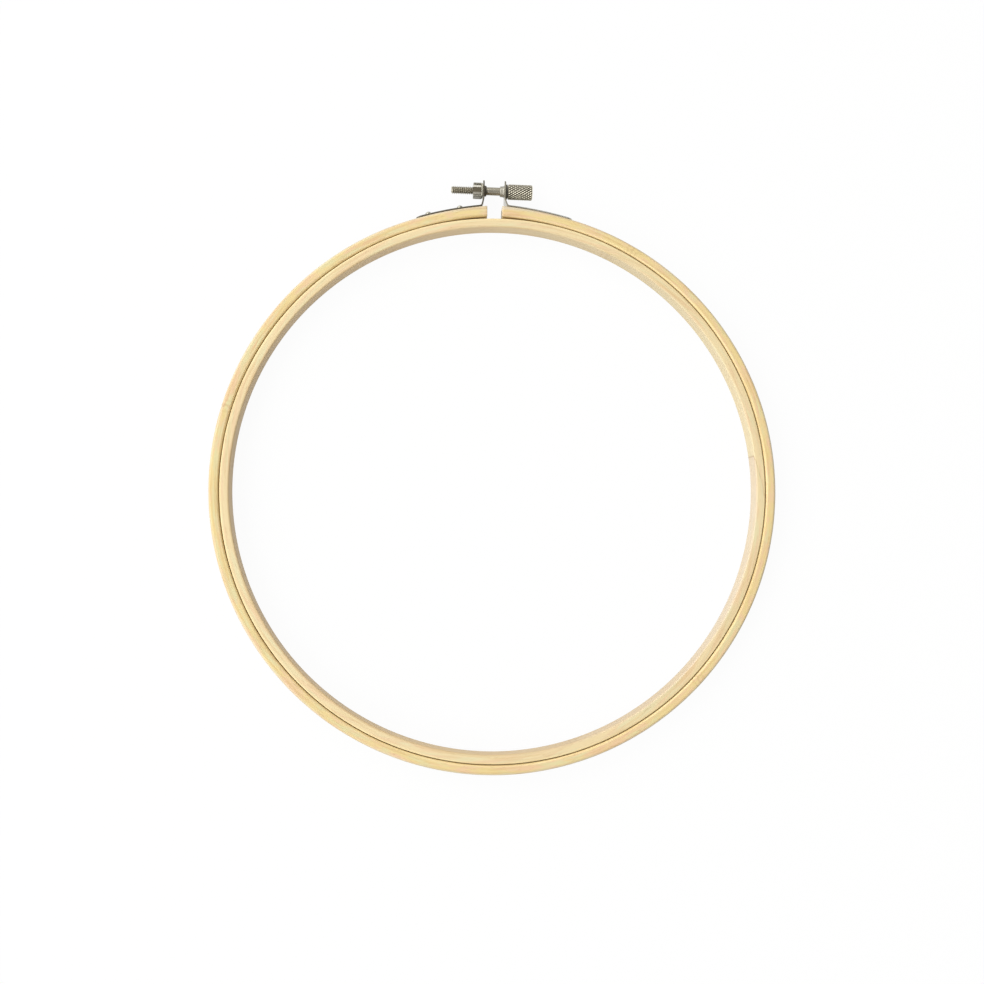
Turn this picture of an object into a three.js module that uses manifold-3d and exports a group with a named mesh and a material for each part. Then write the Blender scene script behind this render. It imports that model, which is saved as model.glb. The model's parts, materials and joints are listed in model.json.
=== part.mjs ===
// Embroidery hoop: a closed bamboo hoop inside a split one, drawn together by a screw clamp.
// The hoops lie flat, with +Z through them and the clamp at +Y. The screw runs along X, its
// knurled head at +X, and the origin is the middle of the footprint.

import * as THREE from "three";
import { mergeVertices } from "three/addons/utils/BufferGeometryUtils.js";
import Module from "manifold-3d";

const wasm = await Module();
wasm.setup();

// Hoops, in millimetres
const HOOP_SIZE = 203.2; // outside of the inner hoop, by which such a hoop is sold: 8 inches
const HOOP_HEIGHT = 9.5;
const INNER_WALL = 3.6;
const OUTER_WALL = 3.7;
const CLOTH_GAP = 0.35; // between the hoops, where the cloth is gripped
const EDGE_ROUND = 0.4;
const END_GAP = 5.6; // between the sawn ends of the outer hoop

// Brackets, stamped and bent from strip
const STRIP = 0.5;
const BRACKET_WIDTH = 8;
const TAIL_LENGTH = 25; // along the hoop, from the bend to the rounded end
const TAIL_CORNER = 2.2;
const BEND_RADIUS = 1.1; // to the middle of the strip
const EAR_SETBACK = 1; // from the sawn end of the hoop back to the ear
const EAR_SPLAY = 0.8; // how far an ear's foot stands further back than its top
const EAR_FOOT = 3.6; // height of the splayed foot over the hoop
const COLLAR_WALL = 0.3; // at the lip of the collar pulled round the screw's hole
const COLLAR_FLARE = 0.55; // wider at the root than at the lip
const NUT_COLLAR_LENGTH = 0.8;
const SCREW_COLLAR_LENGTH = 1.6;

// Brads through the strips
const BRAD_SHANK = 1.1;
const BRAD_HEAD = 2.3;
const BRAD_DOME = 0.6;
const BRAD_COVER = 0.9; // bamboo left under a brad's point
const FIRST_BRAD = 8; // along the hoop, from the bend
const LAST_BRAD = 5; // along the hoop, from the rounded end

// Clamp screw and what it carries
const SCREW_RISE = 7.4; // screw's axis over the outer hoop
const CLAMP_SKEW = 1.6; // degrees by which the drawn-up clamp stands out of square
const SCREW_DIAMETER = 3;
const THREAD_PITCH = 0.7;
const THREAD_DEPTH = 0.42;
const THREAD_RUNOUT = 1.5; // thread carried on past the nut, towards the head
const SCREW_LENGTH = 21.4; // under the head
const TIP_CHAMFER = 0.5;
const HEAD_DIAMETER = 5.8;
const HEAD_LENGTH = 9.3;
const HEAD_CHAMFER = 0.35;
const KNURL_PITCH = 1.05;
const KNURL_DEPTH = 0.22;
const WASHER_DIAMETER = 5.6;
const WASHER_THICKNESS = 0.6;
const NUT_WIDTH = 4;
const NUT_LENGTH = 3;
const NUT_CHAMFER = 1.1;
const CAGE_SHEET = 0.5;
const CAGE_WIDTH = 4.4;
const CAGE_BEND = 0.45; // to the middle of the sheet

// Clearances
const SEAT = 0.1; // between pieces that rest on each other
const RUN = 0.15; // round the screw and the brads
const THREAD_PLAY = 0.12; // between the screw's thread and the nut's
const TRIM = 0.02; // by which a trimming shape clears a surface that it leaves whole

// Fineness of round shapes
const RING_STEPS = 96;
const ROUND_STEPS = 20;
const SMALL_STEPS = 12;
const DOME_STEPS = 4;
const CORNER_STEPS = 1;
const BEND_STEP = THREE.MathUtils.degToRad(18);
const STRIP_STEP = THREE.MathUtils.degToRad(1.8);

// Sizes that follow from them
const innerOut = HOOP_SIZE / 2;
const innerIn = innerOut - INNER_WALL;
const outerIn = innerOut + CLOTH_GAP;
const outerOut = outerIn + OUTER_WALL;
const screwRadius = SCREW_DIAMETER / 2;
const holeRadius = screwRadius + RUN;
const earInside = END_GAP / 2 + EAR_SETBACK; // from the middle of the clamp
const earOutside = earInside + STRIP;
const washerStart = earOutside + SEAT;
const headStart = washerStart + WASHER_THICKNESS + SEAT;
const screwTip = headStart - SCREW_LENGTH;
const cageStart = earOutside + SEAT; // to the nut's side of the clamp, so counted along -X
const nutStart = cageStart + CAGE_SHEET + SEAT;
const nutEnd = nutStart + NUT_LENGTH;
const stripMiddle = outerOut + SEAT + STRIP / 2;
const skew = THREE.MathUtils.degToRad(CLAMP_SKEW);
const FAR = 2 * (outerOut + HOOP_HEIGHT); // past anything on the hoop

const bamboo = new THREE.MeshStandardMaterial({ color: 0xf0dba6, roughness: 0.55, metalness: 0 });
const darkerBamboo = new THREE.MeshStandardMaterial({ color: 0xeed4a0, roughness: 0.55, metalness: 0 });
const platedSteel = new THREE.MeshStandardMaterial({ color: 0xa9a69b, roughness: 0.3, metalness: 1 });

// Solids

function solidOf(geometry) {
  const bare = geometry.clone();
  bare.deleteAttribute("normal");
  bare.deleteAttribute("uv");
  const merged = mergeVertices(bare, 1e-4);
  return new wasm.Manifold(
    new wasm.Mesh({
      numProp: 3,
      vertProperties: new Float32Array(merged.attributes.position.array),
      triVerts: new Uint32Array(merged.index.array),
    }),
  );
}

function geometryOf(solid) {
  const mesh = solid.getMesh();
  const geometry = new THREE.BufferGeometry();
  geometry.setAttribute("position", new THREE.BufferAttribute(mesh.vertProperties, 3));
  geometry.setIndex(new THREE.BufferAttribute(mesh.triVerts, 1));
  const faceted = geometry.toNonIndexed();
  faceted.computeVertexNormals();
  return faceted;
}

// The solid without each of the geometries.
function cut(solid, ...geometries) {
  return geometries.reduce((left, geometry) => left.subtract(solidOf(geometry)), solid);
}

// What the solid shares with each of the geometries.
function trimmed(solid, ...geometries) {
  return geometries.reduce((left, geometry) => left.intersect(solidOf(geometry)), solid);
}

function meshOf(name, solid, material) {
  const mesh = new THREE.Mesh(geometryOf(solid), material);
  mesh.name = name;
  return mesh;
}

// A radius whose polygon of that many sides stays outside the circle it goes round.
function around(radius, steps) {
  return radius / Math.cos(Math.PI / steps);
}

// A profile of [radius, distance along the axis] pairs turned round the X axis.
function turned(profile, steps) {
  const points = profile.map(([radius, along]) => new THREE.Vector2(radius, along));
  return new THREE.LatheGeometry(points, steps).rotateZ(-Math.PI / 2);
}

function rod(radius, start, end, steps) {
  return turned([[0, start], [radius, start], [radius, end], [0, end]], steps);
}

function indexed(positions, faces) {
  const geometry = new THREE.BufferGeometry();
  geometry.setAttribute("position", new THREE.Float32BufferAttribute(positions, 3));
  geometry.setIndex(faces);
  return geometry;
}

function extruded(shape, depth) {
  return new THREE.ExtrudeGeometry(shape, {
    depth,
    bevelEnabled: false,
    curveSegments: SMALL_STEPS,
  });
}

// A rectangle with rounded corners, as a closed list of points.
function roundedRectangle(left, right, bottom, top, radius) {
  const quarter = Math.PI / 2;
  const outline = new THREE.Path();
  outline.absarc(right - radius, bottom + radius, radius, -quarter, 0, false);
  outline.absarc(right - radius, top - radius, radius, 0, quarter, false);
  outline.absarc(left + radius, top - radius, radius, quarter, 2 * quarter, false);
  outline.absarc(left + radius, bottom + radius, radius, 2 * quarter, 3 * quarter, false);
  const points = outline.getPoints(CORNER_STEPS);
  points.push(points[0].clone());
  return points;
}

// Hoops

function ring(inside, outside) {
  const section = roundedRectangle(inside, outside, 0, HOOP_HEIGHT, EDGE_ROUND);
  return solidOf(new THREE.LatheGeometry(section, RING_STEPS).rotateX(Math.PI / 2));
}

function innerHoop() {
  return ring(innerIn, innerOut);
}

function outerHoop() {
  const kerf = new THREE.BoxGeometry(END_GAP, outerOut, 2 * HOOP_HEIGHT);
  kerf.translate(0, outerOut, 0);
  const holes = [-1, 1].flatMap((side) => bradAngles.map((angle) => bradHole(side, angle)));
  return cut(ring(around(outerIn, RING_STEPS), outerOut), kerf, ...holes);
}

// Brackets

// Where the ears meet the hoop, as an angle from the middle of the clamp.
const bendAngle = Math.asin((earInside + STRIP / 2 + EAR_SPLAY) / stripMiddle);
const bradAngles = [FIRST_BRAD, TAIL_LENGTH - LAST_BRAD].map((run) => bendAngle + run / outerOut);

// A point of the clamp's own frame, whose X is the screw's axis, in the hoops' frame.
function fromClamp(along, up) {
  return new THREE.Vector2(along, up).rotateAround(new THREE.Vector2(), -skew).add(
    new THREE.Vector2(0, outerOut + SCREW_RISE),
  );
}

// A path with each corner after the first and before the last rounded to the radius.
function roundedPath(corners, radius) {
  const path = [corners[0]];
  for (let i = 1; i < corners.length - 1; i++) {
    const back = corners[i - 1].clone().sub(corners[i]).normalize();
    const on = corners[i + 1].clone().sub(corners[i]).normalize();
    const turn = Math.PI - back.angleTo(on);
    const reach = radius * Math.tan(turn / 2);
    const start = corners[i].clone().addScaledVector(back, reach);
    const end = corners[i].clone().addScaledVector(on, reach);
    const steps = Math.max(1, Math.ceil(turn / BEND_STEP));
    const bisector = back.clone().add(on).normalize();
    const centre = corners[i].clone().addScaledVector(bisector, radius / Math.cos(turn / 2));
    const side = Math.sign(start.clone().sub(centre).cross(end.clone().sub(centre)));
    for (let k = 0; k <= steps; k++) {
      path.push(start.clone().rotateAround(centre, (side * turn * k) / steps));
    }
  }
  path.push(corners[corners.length - 1]);
  return path;
}

// The outline of a strip of that thickness whose middle follows the path.
function stripOutline(path, thickness) {
  const left = [];
  const right = [];
  path.forEach((point, i) => {
    const before = path[Math.max(i - 1, 0)];
    const after = path[Math.min(i + 1, path.length - 1)];
    const run = after.clone().sub(before).normalize();
    const normal = new THREE.Vector2(-run.y, run.x).multiplyScalar(thickness / 2);
    left.push(point.clone().add(normal));
    right.unshift(point.clone().sub(normal));
  });
  return new THREE.Shape([...left, ...right]);
}

// The strip from its tail round the hoop to the top of its ear, seen along Z.
function bracketPath(side) {
  const tailAngle = bendAngle + TAIL_LENGTH / outerOut;
  const steps = Math.ceil((tailAngle - bendAngle) / STRIP_STEP);
  const bendReach = (2 * BEND_RADIUS) / stripMiddle;
  const tail = [];
  for (let k = 0; k < steps; k++) {
    const angle = tailAngle + ((bendAngle + bendReach - tailAngle) * k) / steps;
    tail.push(new THREE.Vector2(side * stripMiddle * Math.sin(angle), stripMiddle * Math.cos(angle)));
  }
  const middle = side * (earInside + STRIP / 2);
  const foot = new THREE.Vector2(side * stripMiddle * Math.sin(bendAngle), stripMiddle * Math.cos(bendAngle));
  const knee = fromClamp(middle, EAR_FOOT - SCREW_RISE);
  const top = fromClamp(middle, BRACKET_WIDTH);
  const bent = roundedPath([tail[tail.length - 1], foot, knee, top], BEND_RADIUS);
  return [...tail, ...bent.slice(1)];
}

// Everything under the ear's round top, which is concentric with the screw.
function earOutline() {
  const radius = BRACKET_WIDTH / 2;
  const outline = new THREE.Shape();
  outline.moveTo(radius, -FAR);
  outline.lineTo(radius, 0);
  outline.absarc(0, 0, radius, 0, Math.PI, false);
  outline.lineTo(-radius, -FAR);
  return inClamp(extruded(outline, FAR).translate(0, 0, -FAR / 2).rotateY(Math.PI / 2));
}

// Everything short of the tail's round-cornered end, seen along Y.
function tailOutline(side) {
  const half = BRACKET_WIDTH / 2;
  const end = stripMiddle * Math.sin(bendAngle + TAIL_LENGTH / outerOut);
  const outline = new THREE.Shape();
  outline.moveTo(-FAR, -half);
  outline.lineTo(end - TAIL_CORNER, -half);
  outline.absarc(end - TAIL_CORNER, TAIL_CORNER - half, TAIL_CORNER, -Math.PI / 2, 0, false);
  outline.absarc(end - TAIL_CORNER, half - TAIL_CORNER, TAIL_CORNER, 0, Math.PI / 2, false);
  outline.lineTo(-FAR, half);
  const turn = side < 0 ? Math.PI : 0;
  return extruded(outline, FAR).rotateX(Math.PI / 2).rotateY(turn).translate(0, FAR, HOOP_HEIGHT / 2);
}

// The collar that piercing the ear leaves round its hole, wide at the root and open at the lip.
function collar(side, length) {
  const inside = around(holeRadius, ROUND_STEPS);
  const lip = inside + COLLAR_WALL;
  const root = lip + COLLAR_FLARE;
  const buried = earInside + STRIP / 2;
  const waist = earInside - length / 3;
  const end = earInside - length;
  const profile = [
    [inside, end],
    [lip, end],
    [(root + 2 * lip) / 3, waist],
    [root, earInside],
    [root, buried],
    [inside, buried],
    [inside, end],
  ];
  const turn = side < 0 ? Math.PI : 0;
  return inClamp(turned(profile, ROUND_STEPS).rotateZ(turn));
}

function bracket(side, collarLength) {
  const strip = extruded(stripOutline(bracketPath(side), STRIP), BRACKET_WIDTH);
  strip.translate(0, 0, (HOOP_HEIGHT - BRACKET_WIDTH) / 2);
  const blank = trimmed(solidOf(strip), earOutline(), tailOutline(side));
  const hole = inClamp(rod(around(holeRadius, ROUND_STEPS), -FAR, FAR, ROUND_STEPS));
  const bradHoles = bradAngles.map((angle) => bradHole(side, angle));
  return cut(blank.add(solidOf(collar(side, collarLength))), hole, ...bradHoles);
}

// Brads

const bradReach = OUTER_WALL - BRAD_COVER + SEAT + STRIP; // of the shank, from under the head

// Stands a shape made along X in the strip, at that angle from the clamp's middle.
function standing(geometry, side, angle) {
  const out = stripMiddle + STRIP / 2;
  return geometry.translate(out, 0, HOOP_HEIGHT / 2).rotateZ(Math.PI / 2 - side * angle);
}

function bradHole(side, angle) {
  const radius = around(BRAD_SHANK / 2 + RUN, SMALL_STEPS);
  return standing(rod(radius, -bradReach - SEAT, BRAD_DOME, SMALL_STEPS), side, angle);
}

function brad(side, angle) {
  const shank = BRAD_SHANK / 2;
  const head = BRAD_HEAD / 2;
  const seat = SEAT / 2;
  const point = seat - bradReach;
  const dome = new THREE.EllipseCurve(0, seat, head, BRAD_DOME, 0, Math.PI / 2).getPoints(DOME_STEPS);
  const profile = [[0, point], [shank, point + BRAD_SHANK], [shank, seat]];
  dome[DOME_STEPS].x = 0;
  profile.push(...dome.map((place) => [place.x, place.y]));
  return solidOf(standing(turned(profile, SMALL_STEPS), side, angle));
}

// Clamp

// Brings a shape made along the screw's axis into the hoops' frame.
function inClamp(geometry) {
  return geometry.rotateZ(-skew).translate(0, outerOut + SCREW_RISE, HOOP_HEIGHT / 2);
}

// A right-hand thread round X, as one closed surface of sloping flanks between crest and root.
// Row j at step i lies half a pitch further on than row j - 1, and each row climbs one pitch a
// turn, so the end of row j meets the start of row j + 2.
function thread(crest, root, start, end) {
  const first = Math.floor(start / THREAD_PITCH - 1) * THREAD_PITCH;
  const rows = 2 * Math.ceil((end - first) / THREAD_PITCH + 1);
  const steps = ROUND_STEPS;
  const positions = [];
  for (let j = 0; j <= rows + 2; j++) {
    for (let i = 0; i < steps; i++) {
      const angle = (2 * Math.PI * i) / steps;
      const radius = j % 2 ? root : crest;
      const along = first + (THREAD_PITCH * j) / 2 + (THREAD_PITCH * i) / steps;
      positions.push(along, radius * Math.cos(angle), radius * Math.sin(angle));
    }
  }
  const at = (j, i) => (i < steps ? j * steps + i : (j + 2) * steps);
  const faces = [];
  for (let j = 0; j < rows; j++) {
    for (let i = 0; i < steps; i++) {
      faces.push(at(j, i), at(j + 1, i + 1), at(j + 1, i), at(j, i), at(j, i + 1), at(j + 1, i + 1));
    }
  }
  const apex = positions.length / 3;
  positions.push(first - THREAD_PITCH, 0, 0, first + THREAD_PITCH * (rows / 2 + 2), 0, 0);
  for (const [row, centre, flip] of [[0, apex, false], [rows, apex + 1, true]]) {
    const loop = Array.from({ length: steps + 1 }, (_, i) => at(row, i));
    loop.push(at(row + 1, 0));
    loop.forEach((vertex, k) => {
      const next = loop[(k + 1) % loop.length];
      faces.push(centre, ...(flip ? [vertex, next] : [next, vertex]));
    });
  }
  return indexed(positions, faces);
}

// A cylinder along X whose surface rises to a four-sided point in each diamond of the knurl.
function knurled(radius, start, end) {
  const sides = 2 * Math.round((Math.PI * radius * 2) / KNURL_PITCH);
  const rows = 2 * Math.round((end - start) / KNURL_PITCH);
  const positions = [];
  for (let j = 0; j <= rows; j++) {
    for (let i = 0; i < sides; i++) {
      const angle = (2 * Math.PI * i) / sides;
      const reach = (i + j) % 2 ? radius - KNURL_DEPTH : radius;
      const along = start + ((end - start) * j) / rows;
      positions.push(along, reach * Math.cos(angle), reach * Math.sin(angle));
    }
  }
  const at = (j, i) => j * sides + (i % sides);
  const faces = [];
  for (let j = 0; j < rows; j++) {
    for (let i = 0; i < sides; i++) {
      const corners = [at(j, i), at(j + 1, i), at(j + 1, i + 1), at(j, i + 1)];
      const [a, b, c, d] = (i + j) % 2 ? corners : [...corners.slice(1), corners[0]];
      faces.push(a, c, b, a, d, c);
    }
  }
  const middle = positions.length / 3;
  positions.push(start, 0, 0, end, 0, 0);
  for (let i = 0; i < sides; i++) {
    faces.push(middle, at(0, i + 1), at(0, i), middle + 1, at(rows, i), at(rows, i + 1));
  }
  return indexed(positions, faces);
}

function clampScrew() {
  const headEnd = headStart + HEAD_LENGTH;
  const headRadius = HEAD_DIAMETER / 2;
  const threadEnd = THREAD_RUNOUT - nutStart;
  const headBlank = [
    [0, headStart],
    [headRadius - HEAD_CHAMFER, headStart],
    [headRadius + TRIM, headStart + HEAD_CHAMFER],
    [headRadius + TRIM, headEnd - HEAD_CHAMFER],
    [headRadius - HEAD_CHAMFER, headEnd],
    [0, headEnd],
  ];
  const outside = around(screwRadius, ROUND_STEPS) + TRIM;
  const threadBlank = [
    [0, screwTip],
    [outside - TIP_CHAMFER, screwTip],
    [outside, screwTip + TIP_CHAMFER],
    [outside, threadEnd + SEAT],
    [0, threadEnd + SEAT],
  ];
  const knurl = knurled(headRadius, headStart - HEAD_CHAMFER, headEnd + HEAD_CHAMFER);
  const threading = thread(screwRadius, screwRadius - THREAD_DEPTH, screwTip, threadEnd + SEAT);
  const head = trimmed(solidOf(knurl), turned(headBlank, 2 * ROUND_STEPS));
  const threaded = trimmed(solidOf(threading), turned(threadBlank, ROUND_STEPS));
  const shank = rod(screwRadius - TRIM, threadEnd, headStart + HEAD_CHAMFER, ROUND_STEPS);
  return head.add(solidOf(shank)).add(threaded);
}

function washer() {
  const disc = rod(WASHER_DIAMETER / 2, washerStart, washerStart + WASHER_THICKNESS, ROUND_STEPS);
  return cut(solidOf(disc), rod(around(holeRadius, ROUND_STEPS), -FAR, FAR, ROUND_STEPS));
}

function squareNut() {
  const half = NUT_WIDTH / 2;
  const flat = half - NUT_CHAMFER;
  const corners = [];
  for (const [y, z] of [[1, 1], [-1, 1], [-1, -1], [1, -1]]) {
    const nearY = new THREE.Vector2(y * flat, z * half);
    const nearZ = new THREE.Vector2(y * half, z * flat);
    corners.push(...(y * z > 0 ? [nearZ, nearY] : [nearY, nearZ]));
  }
  const block = extruded(new THREE.Shape(corners), NUT_LENGTH);
  block.rotateY(-Math.PI / 2).translate(-nutStart, 0, 0);
  const crest = around(screwRadius + THREAD_PLAY, ROUND_STEPS);
  const tapped = thread(crest, crest - THREAD_DEPTH, -nutEnd - THREAD_PITCH, -nutStart + THREAD_PITCH);
  return cut(solidOf(block), tapped);
}

// A channel that holds the nut's flats, its web between the nut and the ear.
function nutCage() {
  const web = -(cageStart + CAGE_SHEET / 2);
  const height = NUT_WIDTH / 2 + SEAT + CAGE_SHEET / 2;
  const corners = [[-nutEnd, height], [web, height], [web, -height], [-nutEnd, -height]];
  const path = roundedPath(corners.map(([x, y]) => new THREE.Vector2(x, y)), CAGE_BEND);
  const channel = extruded(stripOutline(path, CAGE_SHEET), CAGE_WIDTH).translate(0, 0, -CAGE_WIDTH / 2);
  return cut(solidOf(channel), rod(around(holeRadius, ROUND_STEPS), -FAR, 0, ROUND_STEPS));
}

// Assembly

const hoop = new THREE.Group();
hoop.add(meshOf("inner_hoop", innerHoop(), bamboo));
hoop.add(meshOf("outer_hoop", outerHoop(), darkerBamboo));
hoop.add(meshOf("nut_bracket", bracket(-1, NUT_COLLAR_LENGTH), platedSteel));
hoop.add(meshOf("screw_bracket", bracket(1, SCREW_COLLAR_LENGTH), platedSteel));
for (const [side, name] of [[-1, "nut_bracket_brad"], [1, "screw_bracket_brad"]]) {
  bradAngles.forEach((angle, i) => {
    hoop.add(meshOf(`${name}_${i + 1}`, brad(side, angle), platedSteel));
  });
}

const clamp = new THREE.Group();
clamp.position.set(0, outerOut + SCREW_RISE, HOOP_HEIGHT / 2);
clamp.rotation.z = -skew;
clamp.add(meshOf("clamp_screw", clampScrew(), platedSteel));
clamp.add(meshOf("washer", washer(), platedSteel));
clamp.add(meshOf("square_nut", squareNut(), platedSteel));
clamp.add(meshOf("nut_cage", nutCage(), platedSteel));
hoop.add(clamp);

// The footprint runs from the far side of the hoop to the top of the ears.
const footprint = new THREE.Box3().setFromObject(hoop, true);
hoop.position.set(0, -(footprint.min.y + footprint.max.y) / 2, 0);

export default hoop;
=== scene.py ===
"""The looks of an embroidery hoop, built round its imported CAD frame.

The two bamboo hoops lie flat: +Z runs up through them, the clamp is at +Y and the knurled head of its
screw at +X. The classes hold their sizes in millimetres, and every mesh is in metres, in the frame's axes.
"""

import json
import logging
import math
from collections.abc import Callable, Mapping, Sequence
from dataclasses import dataclass, field, replace
from enum import Enum
from functools import cache, partial
from typing import ClassVar

import bmesh
import bpy
from bpy.types import Material, Mesh, Node, NodeTree, Object
from mathutils import Matrix, Vector


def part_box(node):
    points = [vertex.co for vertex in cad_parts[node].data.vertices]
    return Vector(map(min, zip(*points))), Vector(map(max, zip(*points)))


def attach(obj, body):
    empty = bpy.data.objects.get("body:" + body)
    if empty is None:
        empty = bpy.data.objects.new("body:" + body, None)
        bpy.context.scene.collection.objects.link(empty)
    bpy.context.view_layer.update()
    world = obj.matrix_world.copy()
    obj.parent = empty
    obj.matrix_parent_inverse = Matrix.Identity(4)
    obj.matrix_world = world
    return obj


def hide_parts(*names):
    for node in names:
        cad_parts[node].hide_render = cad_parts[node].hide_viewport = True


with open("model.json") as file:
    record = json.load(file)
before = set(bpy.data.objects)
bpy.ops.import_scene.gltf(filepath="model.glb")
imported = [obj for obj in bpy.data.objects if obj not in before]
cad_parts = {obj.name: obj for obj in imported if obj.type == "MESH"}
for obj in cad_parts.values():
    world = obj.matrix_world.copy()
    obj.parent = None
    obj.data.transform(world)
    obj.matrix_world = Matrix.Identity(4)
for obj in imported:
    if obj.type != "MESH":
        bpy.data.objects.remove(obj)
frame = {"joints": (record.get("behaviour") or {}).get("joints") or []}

log = logging.getLogger("embroidery_hoop")

MM = 0.001
MERGE = 0.0005 * MM  # corners nearer to each other than this are one corner
TURN = 2 * math.pi
UP = Vector((0, 0, 1))
WHITE = (1, 1, 1, 1)

Colour = tuple[float, float, float, float]
Outline = list[tuple[float, float]]
Place = Callable[[float, float, float], Vector]
Adder = Callable[..., Node]  # adds a node to one tree
Ramp = tuple[float, float, float, float]  # where a ramp starts and ends, and what it gives at both

# Kinds of node that come up often, and a setting that many of them share
MATH, VECTOR, RANGE = "ShaderNodeMath", "ShaderNodeVectorMath", "ShaderNodeMapRange"
NOISE, MIX = "ShaderNodeTexNoise", "ShaderNodeMix"
SPLIT, JOIN = "ShaderNodeSeparateXYZ", "ShaderNodeCombineXYZ"
SMOOTH = {"interpolation_type": "SMOOTHSTEP"}


def linear(code: str) -> Colour:
    """Turns an sRGB hex colour into the linear one that the shaders take.

    Args:
        code: The colour, such as "f0dba6".

    Returns:
        Red, green, blue and an alpha of 1.
    """
    parts = [int(code[i : i + 2], 16) / 255 for i in (0, 2, 4)]
    red, green, blue = (c / 12.92 if c <= 0.04045 else ((c + 0.055) / 1.055) ** 2.4 for c in parts)
    return red, green, blue, 1.0


def add_node(tree: NodeTree, kind: str, inputs: Mapping | Sequence = (), **settings: object) -> Node:
    """Adds a node with its settings and links.

    Args:
        tree: The tree that gets the node.
        kind: The node's type.
        inputs: Values, sockets or nodes for its inputs, by name or in order. A node stands for its
            first output.
        settings: Properties of the node, set before its inputs.

    Returns:
        The new node.
    """
    node = tree.nodes.new(kind)
    for name, value in settings.items():
        setattr(node, name, value)
    sockets = [socket for socket in node.inputs if socket.enabled]
    if not isinstance(inputs, Mapping):
        inputs = dict(enumerate(inputs))
    for key, value in inputs.items():
        socket = sockets[key] if isinstance(key, int) else next(s for s in sockets if s.name == key)
        if isinstance(value, Node):
            value = next(output for output in value.outputs if output.enabled)
        if isinstance(value, bpy.types.NodeSocket):
            tree.links.new(value, socket)
        else:
            socket.default_value = value
    return node


def bare_material(name: str) -> Material:
    """Makes a material with an empty tree.

    Args:
        name: Its name.

    Returns:
        The material.
    """
    made = bpy.data.materials.new(name)
    made.use_nodes = True
    made.node_tree.nodes.clear()
    return made


# Where things are


@dataclass(frozen=True)
class Layout:
    """Places in the frame, in millimetres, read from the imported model."""

    centre: Vector  # middle of the hoops, on the surface that they lie on
    clamp: Vector  # a point on the screw's axis, half way between the ears
    axis: Vector  # direction of the screw, towards its head
    outside: float  # radius of the outer hoop
    height: float  # height of both hoops
    spring: float = 0.77  # how far the sawn ends of the outer hoop spring outwards
    spring_reach: float = 32.0  # how far round the hoop that goes

    @classmethod
    def of_frame(cls) -> "Layout":
        """Reads the hoops' boxes and the screw's joint.

        Returns:
            The places.
        """
        low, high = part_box("inner_hoop")
        outer_low, outer_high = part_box("outer_hoop")
        turning = next(joint for joint in frame["joints"] if joint["name"] == "screw_turn")
        centre = (low + high) / 2 / MM
        return cls(
            centre=Vector((centre.x, centre.y, 0)),
            clamp=Vector(turning["pos_m"]) / MM,
            axis=Vector(turning["axis"]).normalized(),
            outside=(outer_high.x - outer_low.x) / 2 / MM,
            height=(high.z - low.z) / MM,
        )

    @property
    def clamp_matrix(self) -> Matrix:
        """Brings a mesh made round the X axis at the origin, in metres, on to the screw's axis."""
        columns = [self.axis, UP.cross(self.axis), UP]
        return Matrix.Translation(self.clamp * MM) @ Matrix(columns).transposed().to_4x4()

    def in_hoop(self, x: float, y: float, z: float) -> Vector:
        """A point given from the middle of the hoops, as metres in the frame."""
        return (self.centre + Vector((x, y, z))) * MM

    def in_clamp(self, along: float, out: float, z: float) -> Vector:
        """A point given along the screw, away from the hoops and over the axis, as metres in the frame."""
        return (self.clamp + self.axis * along + UP.cross(self.axis) * out + Vector((0, 0, z))) * MM

    def sprung(self, angle: float) -> float:
        """How far the outer hoop's inside has sprung outwards, at an angle from the clamp."""
        return self.spring * max(1 - angle * self.outside / self.spring_reach, 0) ** 2


# Meshes


@dataclass
class Shell:
    """Collects the corners and faces of one closed surface, in metres."""

    corners: list[Vector] = field(default_factory=list)  # where the corners are
    faces: list[list[int]] = field(default_factory=list)  # their numbers, face by face
    shades: list[float] = field(default_factory=list)  # how dark and dull each face is painted, from 0 to 1: painted shade, and on sheared edges duller bare steel too

    def row(self, points: Sequence[Vector]) -> list[int]:
        """Adds points and returns their numbers."""
        self.corners.extend(points)
        return list(range(len(self.corners) - len(points), len(self.corners)))

    def skin(
        self, first: Sequence[int], second: Sequence[int], closed: bool = False,
        shade: float | Sequence[float] = 0.0,
    ) -> None:
        """Lays a band of faces between two rows of as many corners.

        Args:
            first: One edge of the band.
            second: The other edge.
            closed: Whether the band joins up with itself.
            shade: How dark and dull it is painted, as painted shade, for the whole band or face by face.
        """
        count = len(first)
        for i in range(count if closed else count - 1):
            j = (i + 1) % count
            self.faces.append([first[i], first[j], second[j], second[i]])
            self.shades.append(shade if isinstance(shade, float) else shade[i])

    def bands(self, rows: Sequence[Sequence[int]], closed: bool = True, shade: float = 0.0) -> None:
        """Lays a band from each row to the next."""
        for first, second in zip(rows, rows[1:]):
            self.skin(first, second, closed, shade)

    def cap(self, row: Sequence[int], shade: float = 0.0) -> None:
        """Closes a loop with one face."""
        self.faces.append(list(row))
        self.shades.append(shade)

    def mesh(self, name: str) -> Mesh:
        """Merges the corners that meet and turns every face outwards.

        Args:
            name: The mesh's name.

        Returns:
            The mesh.
        """
        mesh = bpy.data.meshes.new(name)
        mesh.from_pydata([tuple(corner) for corner in self.corners], [], self.faces)
        mesh.attributes.new("recess", "FLOAT", "FACE").data.foreach_set("value", self.shades)
        work = bmesh.new()
        work.from_mesh(mesh)
        bmesh.ops.remove_doubles(work, verts=work.verts, dist=MERGE)
        bmesh.ops.recalc_face_normals(work, faces=work.faces)
        work.to_mesh(mesh)
        work.free()
        return mesh


def object_of(mesh: Mesh, name: str) -> Object:
    """Puts a mesh into the scene.

    Args:
        mesh: The mesh.
        name: The object's name.

    Returns:
        The object.
    """
    made = bpy.data.objects.new(name, mesh)
    bpy.context.scene.collection.objects.link(made)
    return made


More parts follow.
